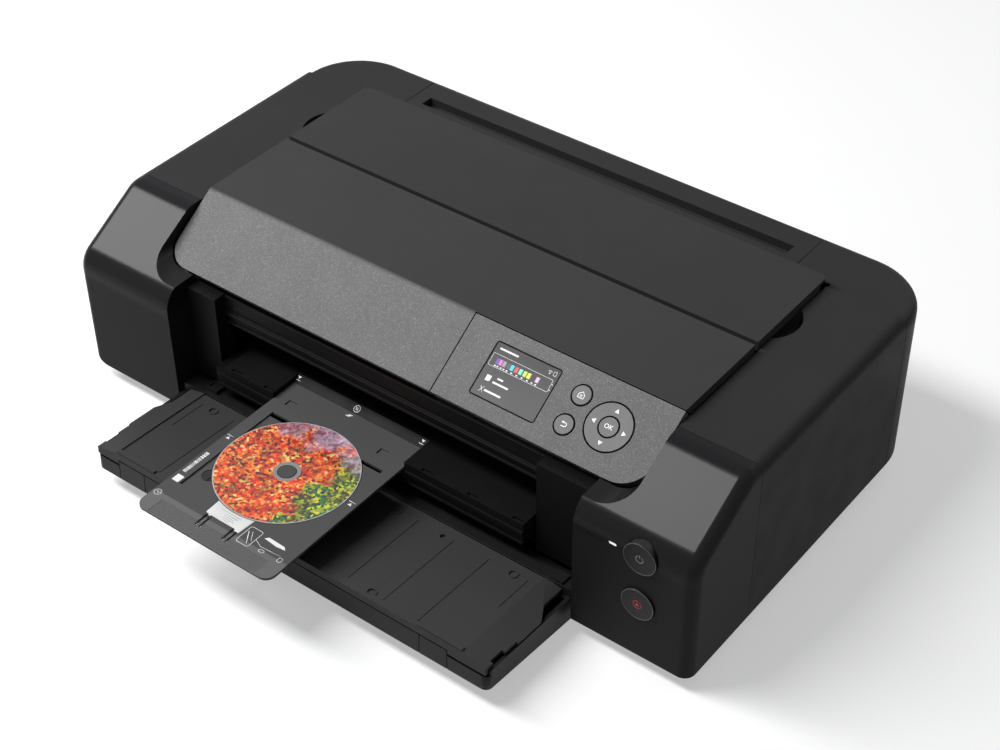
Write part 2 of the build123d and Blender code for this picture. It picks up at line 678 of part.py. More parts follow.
# Power and stop buttons, and the power lamp
def front_button(spot):
    """Round button in the right front cover, with a stem."""
    x, z = spot
    with BuildPart() as button:
        rod_y(Y_FRONT - POWER_PROUD, Y_FRONT + 9, x, z, POWER_BUTTON_R)
        fillet(button.edges().group_by(Axis.Y)[0], 0.5)
        rod_y(Y_FRONT + 9, Y_FRONT + board_back - 2, x, z, 5)
    return button.part


save(front_button(POWER_AT), "power_button")
save(front_button(STOP_AT), "stop_button")

with BuildPart() as power_lamp:
    with BuildSketch(Plane.XZ.offset(-Y_FRONT - 0.6)):
        with Locations(LAMP_AT):
            SlotOverall(*LAMP_SIZE)
    extrude(amount=-7)
save(power_lamp.part, "power_lamp")

# Circuit boards: key board on the bracket, switch board in the right cover, main board at the back
with BuildPart() as circuit_boards:
    with BuildSketch(slope_plane.offset(key_board_low)):
        with Locations((RING_AT[0] - 9.4, RING_AT[1])):
            Rectangle(76, 60)
    extrude(amount=key_board_thick)
    block((board_left, Y_FRONT + board_back, 44), (board_right, Y_FRONT + board_back + 1.6, 130))
    for x, z in (POWER_AT, STOP_AT):
        rod_y(Y_FRONT + board_back - 0.8, Y_FRONT + board_back, x, z, 3)
save(circuit_boards.part, "circuit_boards")

# Base pan: a tub set in from the covers, with a flange inside them
flange_fit = 0.2
with BuildPart() as base_pan:
    block((-HALF_WIDTH + BASE_INSET, Y_FRONT + BASE_FRONT, FOOT_HEIGHT),
          (HALF_WIDTH - BASE_INSET, Y_BACK - BASE_INSET, FLANGE_TOP))
    fillet(base_pan.edges().filter_by(Axis.Z).group_by(Axis.Y)[-1], REAR_CORNER_R - BASE_INSET)
    with BuildSketch(Plane.XY.offset(FLANGE_LOW)):
        with BuildLine():
            rear_plan(WALL + flange_fit, Y_FRONT + BASE_FRONT)
        make_face()
        for side in (-1, 1):
            with Locations((side * (OPENING_HALF + HALF_WIDTH) / 2, Y_FRONT + BASE_FRONT / 2 + 6)):
                Rectangle(HALF_WIDTH - OPENING_HALF - 2 * WALL - 2 * EDGE_R, BASE_FRONT - 6)
    extrude(amount=FLANGE_TOP - FLANGE_LOW)
    block((-HALF_WIDTH + BASE_INSET + WALL, Y_FRONT + BASE_FRONT + WALL, FOOT_HEIGHT + BASE_FLOOR),
          (HALF_WIDTH - BASE_INSET - WALL, Y_BACK - BASE_INSET - WALL - 20, FLANGE_TOP + 1),
          Mode.SUBTRACT)
    for side in (-1, 1):
        wall_x = side * (OPENING_HALF + WALL / 2)
        block((wall_x - WALL / 2 - GAP, Y_FRONT + BASE_FRONT - 1, COVER_BOTTOM - GAP),
              (wall_x + WALL / 2 + GAP, Y_FRONT + BASE_FRONT + WALL + 1, FLANGE_TOP + 1), Mode.SUBTRACT)
    screw_reach = HALF_WIDTH - 79.5
    screw_spots = [(screw_reach * share, Y_FRONT + back) for share in (-1, -1 / 3, 1 / 3, 1)
                   for back in (70, 300)]
    for x, y in screw_spots:
        rod_z(FOOT_HEIGHT, FLANGE_TOP, x, y, 5)
    for x, y in screw_spots:
        rod_z(FOOT_HEIGHT - 1, FOOT_HEIGHT + 10, x, y, 1.6, Mode.SUBTRACT)
save(base_pan.part, "base_pan")

foot_r = 11.0
with BuildPart() as feet:
    for x in (-HALF_WIDTH + BASE_INSET + 22, HALF_WIDTH - BASE_INSET - 22):
        for y in (Y_FRONT + BASE_FRONT + 18, Y_BACK - BASE_INSET - 32):
            rod_z(0, FOOT_HEIGHT, x, y, foot_r)
    fillet(feet.edges().group_by(Axis.Z)[0], 1)
save(feet.part, "feet")

with BuildPart() as screws:
    for x, y in screw_spots:
        rod_z(FOOT_HEIGHT - 1.8, FOOT_HEIGHT, x, y, 3.2)
        rod_z(FOOT_HEIGHT - 1, FOOT_HEIGHT + 9, x, y, 1.5)
        rod_z(FOOT_HEIGHT - 2, FOOT_HEIGHT - 1, x, y, 1.0, Mode.SUBTRACT)
save(screws.part, "screws")

# Inner bezel behind the output opening: wall with the paper slot, side blocks and guide ledges
y_bezel = Y_FRONT + BEZEL_BACK
bezel_top = bracket_foot_z - GAP
ledge_top = GUIDE_FOOT - GAP
slot_side = 1.5
slot_top = 100.0
block_gap = 2.5
block_left = GUIDE_LEFT - block_gap
block_right = GUIDE_RIGHT + block_gap
with BuildPart() as inner_bezel:
    block((-OPENING_HALF + GAP, y_bezel, TRAY_TOP), (OPENING_HALF - GAP, y_bezel + BEZEL_THICK, bezel_top))
    block((-OPENING_HALF + GAP, Y_FRONT + BLOCK_BACK, TRAY_TOP),
          (block_left, y_bezel + 1, BLOCK_TOP))
    block((block_right, Y_FRONT + BLOCK_BACK, TRAY_TOP),
          (OPENING_HALF - GAP, y_bezel + 1, BLOCK_TOP))
    block((GUIDE_LEFT - slot_side, y_bezel - 1, GUIDE_FOOT - 1),
          (GUIDE_RIGHT + slot_side, y_bezel + BEZEL_THICK + 1, slot_top), Mode.SUBTRACT)
    for low, high in ((GUIDE_LEFT - slot_side, GUIDE_LEFT + 16), (GUIDE_RIGHT - 16, GUIDE_RIGHT + slot_side)):
        block((low, y_bezel, ledge_top - 6), (high, Y_FRONT + OUTPUT_BACK - 6, ledge_top))
    for low, proud in ((slot_top, 1.5), (slot_top + 10, 3.0)):
        block((block_left, y_bezel - proud, low), (block_right, y_bezel + 1, low + 2.5))
save(inner_bezel.part, "inner_bezel")

# Inner floor under the paper slot, on ribs that stand on the base flange
floor_front = TRAY_PIVOT_BACK + (TRAY_TOP - TRAY_PIVOT_Z) + 1.5
with BuildPart() as inner_floor:
    block((-OPENING_HALF + GAP, Y_FRONT + floor_front, TRAY_TOP - WALL),
          (OPENING_HALF - GAP, Y_COVER_END - 2, TRAY_TOP))
    for x in (-OPENING_HALF + 11, -70, 70, OPENING_HALF - 11):
        block((x - 1.5, Y_FRONT + floor_front + 2, FLANGE_TOP),
              (x + 1.5, Y_FRONT + floor_front + 8, TRAY_TOP - 1))
save(inner_floor.part, "inner_floor")


# Output tray: door shell with a barrel back, and the sliding upper plate, both a little raised
plate_low = TRAY_TOP - TRAY_PLATE
plate_back = Y_FRONT + TRAY_SPLIT
tray_front = Y_FRONT - TRAY_REACH
tray_pivot_y = Y_FRONT + TRAY_PIVOT_BACK
seam_drop = 1.2
tray_wall = 3.0
pin_length = 8.5
wing_gap_top = plate_low - 4
wing_gap_low = wing_gap_top - 2.5


def tray_shell_outline():
    """Side view of the tray shell round its pivot barrel, its bottom rising to the front."""
    reach = TRAY_TOP - TRAY_PIVOT_Z
    Polyline((tray_pivot_y, TRAY_BOTTOM), (tray_front, TRAY_BOTTOM + TRAY_RISE), (tray_front, TRAY_TOP),
             (tray_pivot_y, TRAY_TOP))
    ThreePointArc((tray_pivot_y, TRAY_TOP), (tray_pivot_y + reach - 1, TRAY_PIVOT_Z),
                  (tray_pivot_y, TRAY_BOTTOM))


def tray_slice(x, wide, lift, top, mode):
    """Slab across the tray shell that follows its rising bottom."""
    near, far = tray_front + tray_wall, plate_back - tray_wall
    with BuildSketch(Plane.YZ.offset(x)) as slice_face:
        Polygon((near, TRAY_BOTTOM + TRAY_RISE + lift), (far, TRAY_BOTTOM + lift), (far, top), (near, top),
                align=None)
    extrude(slice_face.sketch, amount=wide, mode=mode)


def raised(part):
    """The tray's resting place, turned up a little about its pivot."""
    return part.rotate(Axis((0, tray_pivot_y, TRAY_PIVOT_Z), (1, 0, 0)), -TRAY_TILT)


with BuildPart() as output_tray:
    with BuildSketch(Plane.YZ.offset(-TRAY_HALF)):
        with BuildLine():
            tray_shell_outline()
        make_face()
    extrude(amount=2 * TRAY_HALF)
    fillet(output_tray.edges().filter_by(Axis.Z).group_by(Axis.Y)[0], 6)
    block((-TRAY_HALF - 1, tray_front - 1, plate_low - seam_drop),
          (TRAY_HALF + 1, plate_back, TRAY_TOP + 1), Mode.SUBTRACT)
    tray_slice(-TRAY_HALF + tray_wall, 2 * (TRAY_HALF - tray_wall), tray_wall, TRAY_TOP + 1, Mode.SUBTRACT)
    for share in (-0.6, -0.2, 0.2, 0.6):
        tray_slice(share * TRAY_HALF - 1.5, 3, tray_wall - 0.5, plate_low - GAP, Mode.ADD)
    for x in (-TRAY_HALF + 27, -TRAY_HALF + 56.5, TRAY_HALF - 65.5, TRAY_HALF - 38.5):
        block((x - 0.4, tray_front - 1, TRAY_BOTTOM - 1), (x + 0.4, tray_front + 0.6, plate_low),
              Mode.SUBTRACT)
    for low, high in ((-TRAY_HALF - 1, -TRAY_HALF + 27), (TRAY_HALF - 38.5, TRAY_HALF + 1)):
        block((low, tray_front - 1, wing_gap_low), (high, tray_front + tray_wall + 1, TRAY_TOP), Mode.SUBTRACT)
    for x in (-TRAY_HALF - 1, TRAY_HALF - pin_length):
        rod_x(x, x + pin_length + 1, tray_pivot_y, TRAY_PIVOT_Z, TRAY_PIN_R + RUN_FIT, Mode.SUBTRACT)
    catch_x = -TRAY_HALF + 28
    catch_y = Y_FRONT + 14
    block((catch_x - 6.5, catch_y - 5.5, TRAY_TOP - 1), (catch_x + 6.5, catch_y + 5.5, TRAY_TOP + 4))
    block((catch_x - 4.5, catch_y - 3.5, TRAY_TOP + 2.8), (catch_x + 4.5, catch_y + 3.5, TRAY_TOP + 5),
          Mode.SUBTRACT)
    block((TRAY_HALF - 20.5, plate_back + 1, TRAY_TOP - 2), (TRAY_HALF - 9, tray_pivot_y, TRAY_TOP + 2))
save(raised(output_tray.part), "output_tray")

lip_height = 1.4
plate_half = TRAY_HALF - 0.5
crease = TRAY_HALF - WING_WIDTH
bosses = [(46.5, -8.5), (118.7, -92.9), (164.2, -8.8)]
plate_grooves = ((143.2, 0.8, 85), (106.2, 0.8, 89), (70.3, 3.0, 89), (33.0, 0.8, 38))
with BuildPart() as tray_extension:
    with BuildSketch(Plane.XZ.offset(-tray_front)):
        Polygon((-plate_half, plate_low), (plate_half, plate_low), (plate_half, TRAY_TOP - WING_DROP),
                (crease, TRAY_TOP), (-crease, TRAY_TOP), (-plate_half, TRAY_TOP - WING_DROP), align=None)
    extrude(amount=-(plate_back - GAP - tray_front))
    for low, high in ((-plate_half, -TRAY_HALF + 26.5), (TRAY_HALF - 38, plate_half)):
        block((low, tray_front, wing_gap_top), (high, tray_front + tray_wall, plate_low + 1))
    fillet(tray_extension.edges().filter_by(Axis.Z).group_by(Axis.Y)[0].sort_by(Axis.X)[0], 2.5)
    fillet(tray_extension.edges().filter_by(Axis.Z).group_by(Axis.Y)[0].sort_by(Axis.X)[-1], 2.5)
    for side in (-1, 1):
        edge = side * plate_half
        block((edge - 4.5, Y_FRONT - 91.5, plate_low - 1), (edge + 4.5, Y_FRONT - 77, TRAY_TOP + 1), Mode.SUBTRACT)
        block((edge - 1.6, tray_front - 1, wing_gap_top - 1), (edge + 1.6, Y_FRONT - 63, TRAY_TOP + 1), Mode.SUBTRACT)
        with BuildSketch(Plane.XY.offset(plate_low - 1)):
            Polygon((edge + side, Y_FRONT - 35), (edge - side * 8, Y_FRONT - 19.5), (edge - side * 8, plate_back + 1),
                    (edge + side, plate_back + 1), align=None)
        extrude(amount=TRAY_PLATE + 2, mode=Mode.SUBTRACT)
    block((-crease, tray_front + 6, TRAY_TOP - 1.2), (crease, plate_back + 1, TRAY_TOP + 1), Mode.SUBTRACT)
    for side in (-1, 1):
        ends = sorted((side * (crease - 43.5), side * (crease - 0.5)))
        block((ends[0], tray_front + 0.6, TRAY_TOP - 0.5), (ends[1], tray_front + 4.5, TRAY_TOP + lip_height))
    for side, spots in ((1, bosses), (-1, bosses[:2])):
        for inset, back in spots:
            x = side * (TRAY_HALF - inset)
            rod_z(plate_low + 2, TRAY_TOP - 0.4, x, Y_FRONT + back, 4.6)
            rod_z(TRAY_TOP - 1.8, TRAY_TOP + 1, x, Y_FRONT + back, 3.4, Mode.SUBTRACT)
    rod_z(TRAY_TOP - 3.5, TRAY_TOP + 1, TRAY_HALF - 116.5, Y_FRONT - 8.5, 2.4, Mode.SUBTRACT)
    for side in (-1, 1):
        for inset, wide, long in plate_grooves:
            x = side * (TRAY_HALF - inset)
            block((x - wide / 2, Y_FRONT - 6.5 - long, TRAY_TOP - 1.7), (x + wide / 2, Y_FRONT - 6.5, TRAY_TOP),
                  Mode.SUBTRACT)
    for x in (-TRAY_HALF + 55.5, -60, 60, TRAY_HALF - 55.5):
        block((x - 1.5, tray_front + 8, plate_low - 0.1), (x + 1.5, plate_back, TRAY_TOP - 4),
              Mode.SUBTRACT)
save(raised(tray_extension.part), "tray_extension")

# Disc tray guide: a sliding platform with a notch for the disc tray, which passes under its back
guide_y = Y_FRONT + GUIDE_FRONT
guide_end = guide_y + GUIDE_LENGTH
platform_y = guide_y + 1.6
disc_left = DISC_TRAY_X - DISC_TRAY_WIDTH / 2
disc_right = DISC_TRAY_X + DISC_TRAY_WIDTH / 2
notch_left = disc_left - GAP
notch_right = disc_right + GAP
notch_foot_y = guide_y + 27.1
notch_crest_y = guide_y + 34.6
guide_wall = 2.5
with BuildPart() as disc_guide:
    block((GUIDE_LEFT, guide_y, GUIDE_TOP - 4), (GUIDE_RIGHT, guide_end, GUIDE_TOP))
    fillet(disc_guide.edges().filter_by(Axis.Z).group_by(Axis.Y)[0].sort_by(Axis.X)[0], 9)
    block((PLATFORM_LEFT, platform_y, GUIDE_TOP - 1), (GUIDE_RIGHT, guide_end, PLATFORM_TOP))
    for low, high in ((PLATFORM_LEFT, notch_left), (notch_right, GUIDE_RIGHT)):
        block((low + guide_wall, platform_y + guide_wall, GUIDE_TOP - 5),
              (high - guide_wall, guide_end - guide_wall, PLATFORM_TOP - guide_wall), Mode.SUBTRACT)
    with BuildSketch(Plane.YZ.offset(notch_left)):
        Polygon((guide_y - 1, GUIDE_TOP), (guide_end + 1, GUIDE_TOP), (guide_end + 1, DISC_PLANE + GAP),
                (notch_foot_y, DISC_PLANE + GAP), (notch_crest_y, PLATFORM_TOP),
                (notch_crest_y, PLATFORM_TOP + 1), (guide_y - 1, PLATFORM_TOP + 1), align=None)
    extrude(amount=notch_right - notch_left, mode=Mode.SUBTRACT)
    block((GUIDE_LEFT + 4, guide_y + 1.6, GUIDE_FOOT), (GUIDE_RIGHT, guide_y + 4.1, GUIDE_TOP - 1))
    block((GUIDE_LEFT + 4, guide_y + 0.4, GUIDE_FOOT), (GUIDE_RIGHT, guide_y + 4.1, GUIDE_FOOT + 2))
    for x in (GUIDE_LEFT, GUIDE_RIGHT - 3):
        block((x, guide_y + 9, GUIDE_FOOT), (x + 3, guide_end, GUIDE_TOP - 1))
    for x in (PLATFORM_LEFT + 12.5, notch_left - 6.7, notch_right + 21.7, notch_right + 68.2,
              GUIDE_RIGHT - 6.5):
        block((x - 5.2, platform_y + 1, PLATFORM_TOP - 1.5), (x + 5.2, platform_y + 4, PLATFORM_TOP + 1),
              Mode.SUBTRACT)
save(disc_guide.part, "disc_guide")

# Disc tray with its round seat, finger hole, arms and grip grooves, and the disc
disc_y = Y_FRONT + DISC_BACK
tray_y = Y_FRONT - DISC_TRAY_REACH
tray_low = DISC_PLANE - DISC_TRAY_THICK
seat_depth = 1.0
pocket_depth = 1.6
grip_grooves = 10
grip_pitch = 1.6
with BuildPart() as disc_tray:
    block((disc_left, tray_y, tray_low), (disc_right, tray_y + DISC_TRAY_LENGTH, DISC_PLANE))
    fillet(disc_tray.edges().filter_by(Axis.Z).group_by(Axis.Y)[0], 9)
    block((DISC_TRAY_X - DISC_R + 0.7, disc_y - DISC_R - 1.5, DISC_PLANE - pocket_depth),
          (DISC_TRAY_X - 22, disc_y + 47.4, DISC_PLANE + 1), Mode.SUBTRACT)
    rod_z(DISC_PLANE - pocket_depth - 0.2, DISC_PLANE - seat_depth, DISC_TRAY_X, disc_y, DISC_R - 1)
    rod_z(DISC_PLANE - seat_depth, DISC_PLANE + 1, DISC_TRAY_X, disc_y, DISC_R + 0.6, Mode.SUBTRACT)
    rod_z(DISC_PLANE - seat_depth - 0.4, DISC_PLANE + GAP, DISC_TRAY_X, disc_y, DISC_HOLE_R - 0.1)
    rod_z(tray_low - 1, DISC_PLANE + 1, DISC_TRAY_X - DISC_R + 12.4, disc_y - 39.5, 7, Mode.SUBTRACT)
    for low, high in ((-DISC_R + 0.7, -41.5), (39, DISC_R + 0.8)):
        block((DISC_TRAY_X + low, disc_y + 43.4, tray_low - 1),
              (DISC_TRAY_X + high, disc_y + 47.4, DISC_PLANE + 1), Mode.SUBTRACT)
    for x in (DISC_TRAY_X - 14.4, DISC_TRAY_X + 13.6):
        block((x - 3.2, disc_y - 88, tray_low - 1), (x + 3.2, disc_y - 74, DISC_PLANE + 1), Mode.SUBTRACT)
        block((x - 1.2, disc_y - 88.5, tray_low), (x + 1.2, disc_y - 76, DISC_PLANE - 0.2))
    for i in range(grip_grooves):
        y = tray_y + 1 + grip_pitch * i
        block((disc_left + 14, y, DISC_PLANE - 0.6), (disc_right - 14, y + grip_pitch / 2, DISC_PLANE + 1),
              Mode.SUBTRACT)
    for x in (disc_left + 17.3, disc_right - 24.5):
        block((x - 4.5, disc_y + 60.5, DISC_PLANE - 1.2), (x + 4.5, disc_y + 67.3, DISC_PLANE + 1),
              Mode.SUBTRACT)
save(disc_tray.part, "disc_tray")

with BuildPart() as disc:
    rod_z(DISC_PLANE - seat_depth, DISC_PLANE - seat_depth + DISC_THICK, DISC_TRAY_X, disc_y, DISC_R)
    rod_z(DISC_PLANE - 2, DISC_PLANE + 2, DISC_TRAY_X, disc_y, DISC_HOLE_R, Mode.SUBTRACT)
save(disc.part, "disc")

# Upper frame: a deck with openings over the carriage and the sheet feeder
y_rod = Y_FRONT + ROD_BACK
y_rail = Y_FRONT + RAIL_BACK
y_output = Y_FRONT + OUTPUT_BACK
y_feed = Y_FRONT + FEED_BACK
hopper_wall = 3.0
hopper_front = Y_FRONT + 213
with BuildPart() as upper_frame:
    block((-HALF_WIDTH + WALL + flange_fit, Y_COVER_END + 3, FRAME_LOW),
          (HALF_WIDTH - WALL - flange_fit, Y_LID_END + 4, FRAME_TOP))
    block((-CHASSIS_X + 54.5, Y_FRONT + CARRIAGE_FRONT - 2, FRAME_LOW - 1),
          (CHASSIS_X - 54.5, y_rail - 16, FRAME_TOP + 1), Mode.SUBTRACT)
    block((-HOPPER_HALF - hopper_wall - flange_fit, hopper_front, FRAME_LOW - 1),
          (HOPPER_HALF + hopper_wall + flange_fit, Y_LID_END - 12, FRAME_TOP + 1), Mode.SUBTRACT)
save(upper_frame.part, "upper_frame")

# Steel chassis sides with the bearing holes, and an axle for the idler gear
y_idler = (y_output + y_feed) / 2
chassis_front = Y_FRONT + 62
chassis_back = Y_BACK - BASE_INSET - 30


def chassis_side():
    """Right chassis side, with holes for the rod and the roller shafts."""
    with BuildPart() as side:
        block((CHASSIS_X, chassis_front, FLANGE_TOP), (CHASSIS_X + CHASSIS_THICK, chassis_back, FRAME_LOW))
        block((CHASSIS_X - 10, chassis_front + 20, FLANGE_TOP),
              (CHASSIS_X + 1, chassis_back - 20, FLANGE_TOP + CHASSIS_THICK))
        for y in (y_output, y_feed):
            rod_x(CHASSIS_X - 1, CHASSIS_X + 4, y, ROLLER_Z, SHAFT_R + RUN_FIT, Mode.SUBTRACT)
        rod_x(CHASSIS_X - 1, CHASSIS_X + 4, y_rod, ROD_Z, ROD_R, Mode.SUBTRACT)
    return side.part


motor_y = y_feed + GEAR_MODULE * (ROLLER_TEETH + PINION_TEETH) / 2
motor_shaft_r = 2.0
idler_axle_r = 3.0
with BuildPart() as right_chassis:
    add(chassis_side())
    rod_x(CHASSIS_X - 1, CHASSIS_X + 4, motor_y, ROLLER_Z, motor_shaft_r + 1, Mode.SUBTRACT)
    rod_x(CHASSIS_X + CHASSIS_THICK, GEAR_X + GEAR_FACE + 2, y_idler, ROLLER_Z, idler_axle_r)
save(right_chassis.part, "right_chassis")
save(mirrored(chassis_side()), "left_chassis")

# Carriage rod and rail
with BuildPart() as guide_rod:
    rod_x(-CHASSIS_X - CHASSIS_THICK, CHASSIS_X + CHASSIS_THICK, y_rod, ROD_Z, ROD_R)
save(guide_rod.part, "guide_rod")

rail_low = 95.0
rail_high = 150.0
with BuildPart() as carriage_rail:
    block((-CHASSIS_X, y_rail, rail_low), (CHASSIS_X, y_rail + CHASSIS_THICK, rail_high))
    block((-CHASSIS_X, y_rail, rail_high - CHASSIS_THICK), (CHASSIS_X, y_rail + 10, rail_high))
    rod_y(y_rail - 1, y_rail + 4, -PULLEY_X, BELT_Z, motor_shaft_r + 1, Mode.SUBTRACT)
    for i in range(9):
        rod_y(y_rail - 1, y_rail + 4, (PULLEY_X - 28) * (i - 4) / 4, rail_low + 12, 6, Mode.SUBTRACT)
save(carriage_rail.part, "carriage_rail")

# Platen between the chassis sides, with ribs under the sheet and a window for the capping station
y_carriage = Y_FRONT + CARRIAGE_FRONT
y_carriage_end = Y_FRONT + CARRIAGE_END
platen_front = Y_FRONT + 106
platen_back = Y_FRONT + 190
platen_ribs = 19
with BuildPart() as platen:
    block((-CHASSIS_X, platen_front, GUIDE_TOP - 9), (CHASSIS_X, platen_back, GUIDE_TOP - 5))
    block((-PLATEN_HALF, platen_front, GUIDE_TOP - 6), (PLATEN_HALF, platen_back, GUIDE_TOP - 2))
    for i in range(platen_ribs):
        x = (PLATEN_HALF - 14) * (2 * i / (platen_ribs - 1) - 1)
        block((x - 1, platen_front, GUIDE_TOP - 3), (x + 1, platen_back, GUIDE_TOP - GAP))
    block((CARRIAGE_X - 30, y_carriage + 6, GUIDE_TOP - 10), (CARRIAGE_X + 30, y_carriage_end - 6, GUIDE_TOP + 1),
          Mode.SUBTRACT)
save(platen.part, "platen")

# Star wheel bar over the output roller
wheel_r = 6.0
ring_pitch = (PLATEN_HALF - 25) / 4
ring_spots = [(i - 4) * ring_pitch for i in range(9)]
with BuildPart() as star_wheel_bar:
    block((-OPENING_HALF + 6, y_bezel + BEZEL_THICK, slot_top + 4),
          (OPENING_HALF - 6, y_output + 6, slot_top + 7))
    for x in ring_spots:
        block((x - 3, y_output - 3, DISC_PLANE + 8), (x - 1.5, y_output + 5, slot_top + 5))
        rod_x(x - 2, x + 1, y_output, DISC_PLANE + wheel_r + 0.8, wheel_r)
save(star_wheel_bar.part, "star_wheel_bar")


# Spur gears with straight-flanked teeth and a little backlash
def gear_face(teeth, bore, shift):
    """Gear profile with a tooth, or with shift 0.5 a gap, on the plane's X axis."""
    pitch_r = GEAR_MODULE * teeth / 2
    root_r = pitch_r - 1.25 * GEAR_MODULE
    tip_r = pitch_r + 0.85 * GEAR_MODULE
    half = 0.43 * pi * GEAR_MODULE / 2
    tip_half = half - 0.85 * GEAR_MODULE * tan(radians(22))
    root_half = half + 1.25 * GEAR_MODULE * tan(radians(14))
    Circle(root_r)
    with PolarLocations(0, teeth, start_angle=360 * shift / teeth):
        Polygon((root_r - 0.3, -root_half), (pitch_r, -half), (tip_r, -tip_half),
                (tip_r, tip_half), (pitch_r, half), (root_r - 0.3, root_half), align=None)
    if bore:
        Circle(bore, mode=Mode.SUBTRACT)


def gear_plane(y):
    """Plane across X at a gear's place, its own X axis towards the back."""
    return Plane(origin=(GEAR_X, y, ROLLER_Z), x_dir=(0, 1, 0), z_dir=(1, 0, 0))


def roller(y, gear_end):
    """Roller shaft with rubber rings and its gear."""
    with BuildPart() as made:
        rod_x(-CHASSIS_X - CHASSIS_THICK - 2, gear_end, y, ROLLER_Z, SHAFT_R)
        for x in ring_spots:
            rod_x(x - 11, x + 11, y, ROLLER_Z, ROLLER_R - GAP)
        with BuildSketch(gear_plane(y)):
            gear_face(ROLLER_TEETH, 0, 0)
        extrude(amount=GEAR_FACE)
    return made.part


save(roller(y_feed, GEAR_X + GEAR_FACE), "feed_roller")
save(roller(y_output, GEAR_X + GEAR_FACE), "output_roller")

with BuildPart() as idler_gear:
    with BuildSketch(gear_plane(y_idler)):
        gear_face(IDLER_TEETH, idler_axle_r + RUN_FIT, 0.5)
    extrude(amount=GEAR_FACE)
save(idler_gear.part, "idler_gear")

with BuildPart() as motor_pinion:
    with BuildSketch(gear_plane(motor_y)):
        gear_face(PINION_TEETH, 0, 0.5)
    extrude(amount=GEAR_FACE)
    rod_x(CHASSIS_X - 4, GEAR_X, motor_y, ROLLER_Z, motor_shaft_r)
save(motor_pinion.part, "motor_pinion")

motor_r = 18.0
with BuildPart() as feed_motor:
    rod_x(CHASSIS_X - 34, CHASSIS_X, motor_y, ROLLER_Z, motor_r)
    rod_x(CHASSIS_X - 6, CHASSIS_X + 1, motor_y, ROLLER_Z, motor_shaft_r + RUN_FIT, Mode.SUBTRACT)

# Carriage drive: motor behind the rail, pulleys and a toothed belt
with BuildPart() as carriage_motor:
    rod_y(y_rail + CHASSIS_THICK, y_rail + 34, -PULLEY_X, BELT_Z, motor_r - 1)
    rod_y(y_rail, y_rail + 8, -PULLEY_X, BELT_Z, motor_shaft_r + RUN_FIT, Mode.SUBTRACT)
with BuildPart() as motors:
    add(feed_motor.part)
    add(carriage_motor.part)
save(motors.part, "motors")

y_belt = Y_FRONT + BELT_BACK


def pulley(x, shaft_end):
    """Flanged belt pulley on its shaft."""
    with BuildPart() as made:
        rod_y(y_belt - 0.5, y_belt + BELT_WIDTH + 0.5, x, BELT_Z, PULLEY_R)
        rod_y(y_belt - 1.5, y_belt - 0.5, x, BELT_Z, PULLEY_R + 2.5)
        rod_y(y_belt + BELT_WIDTH + 0.5, y_belt + BELT_WIDTH + 1.5, x, BELT_Z, PULLEY_R + 2.5)
        rod_y(y_belt, shaft_end, x, BELT_Z, motor_shaft_r)
    return made.part


save(pulley(-PULLEY_X, y_rail + 7), "drive_pulley")

with BuildPart() as idler_pulley:
    add(pulley(PULLEY_X, y_rail - 2))
    rod_y(y_belt - 2, y_rail, PULLEY_X, BELT_Z, motor_shaft_r - 0.5 + RUN_FIT, Mode.SUBTRACT)
save(idler_pulley.part, "idler_pulley")

with BuildPart() as carriage_belt:
    with BuildSketch(Plane.XZ.offset(-y_belt)):
        with Locations((0, BELT_Z)):
            SlotCenterToCenter(2 * PULLEY_X, 2 * (PULLEY_R + GAP + BELT_THICK))
            SlotCenterToCenter(2 * PULLEY_X, 2 * (PULLEY_R + GAP), mode=Mode.SUBTRACT)
    extrude(amount=-BELT_WIDTH)
    rod_y(y_belt - 2, y_rail, PULLEY_X, BELT_Z, motor_shaft_r - 0.5)
save(carriage_belt.part, "carriage_belt")

# Print carriage with its bush, tanks and print head
carriage_low_x = CARRIAGE_X - CARRIAGE_WIDTH / 2
carriage_high_x = CARRIAGE_X + CARRIAGE_WIDTH / 2
with BuildPart() as print_carriage:
    block((carriage_low_x, y_carriage, CARRIAGE_LOW), (carriage_high_x, y_carriage_end, CARRIAGE_TOP - 8))
    block((carriage_low_x + 3, y_carriage + 3, CARRIAGE_LOW + 4),
          (carriage_high_x - 3, y_carriage_end - 3, CARRIAGE_TOP), Mode.SUBTRACT)
    block((carriage_low_x, y_carriage_end - 1, CARRIAGE_LOW), (carriage_high_x, y_rod + 10, ROD_Z + 9))
    block((CARRIAGE_X - 12, y_rod + 4, ROD_Z), (CARRIAGE_X + 12, y_belt - GAP, BELT_Z - PULLEY_R))
    block((CARRIAGE_X - 12, y_rod + 8, BELT_Z - PULLEY_R - 8), (CARRIAGE_X + 12, y_belt + 4, BELT_Z - PULLEY_R - 3))
    rod_x(carriage_low_x - 1, carriage_high_x + 1, y_rod, ROD_Z, ROD_R + RUN_FIT, Mode.SUBTRACT)
save(print_carriage.part, "print_carriage")

with BuildPart() as ink_tanks:
    for i in range(TANKS):
        x = CARRIAGE_X + TANK_PITCH * (i - (TANKS - 1) / 2)
        block((x - 6.5, y_carriage + 3.3, CARRIAGE_LOW + 4), (x + 6.5, y_carriage_end - 3.3, CARRIAGE_TOP))
save(ink_tanks.part, "ink_tanks")

with BuildPart() as print_head:
    block((CARRIAGE_X - 34, y_carriage + 6, HEAD_LOW), (CARRIAGE_X + 34, y_carriage_end - 6, CARRIAGE_LOW))
    for i in range(5):
        x = CARRIAGE_X + 12 * (i - 2)
        block((x - 1, y_carriage + 12, HEAD_LOW - 0.3), (x + 1, y_carriage_end - 12, HEAD_LOW + 1))
save(print_head.part, "print_head")

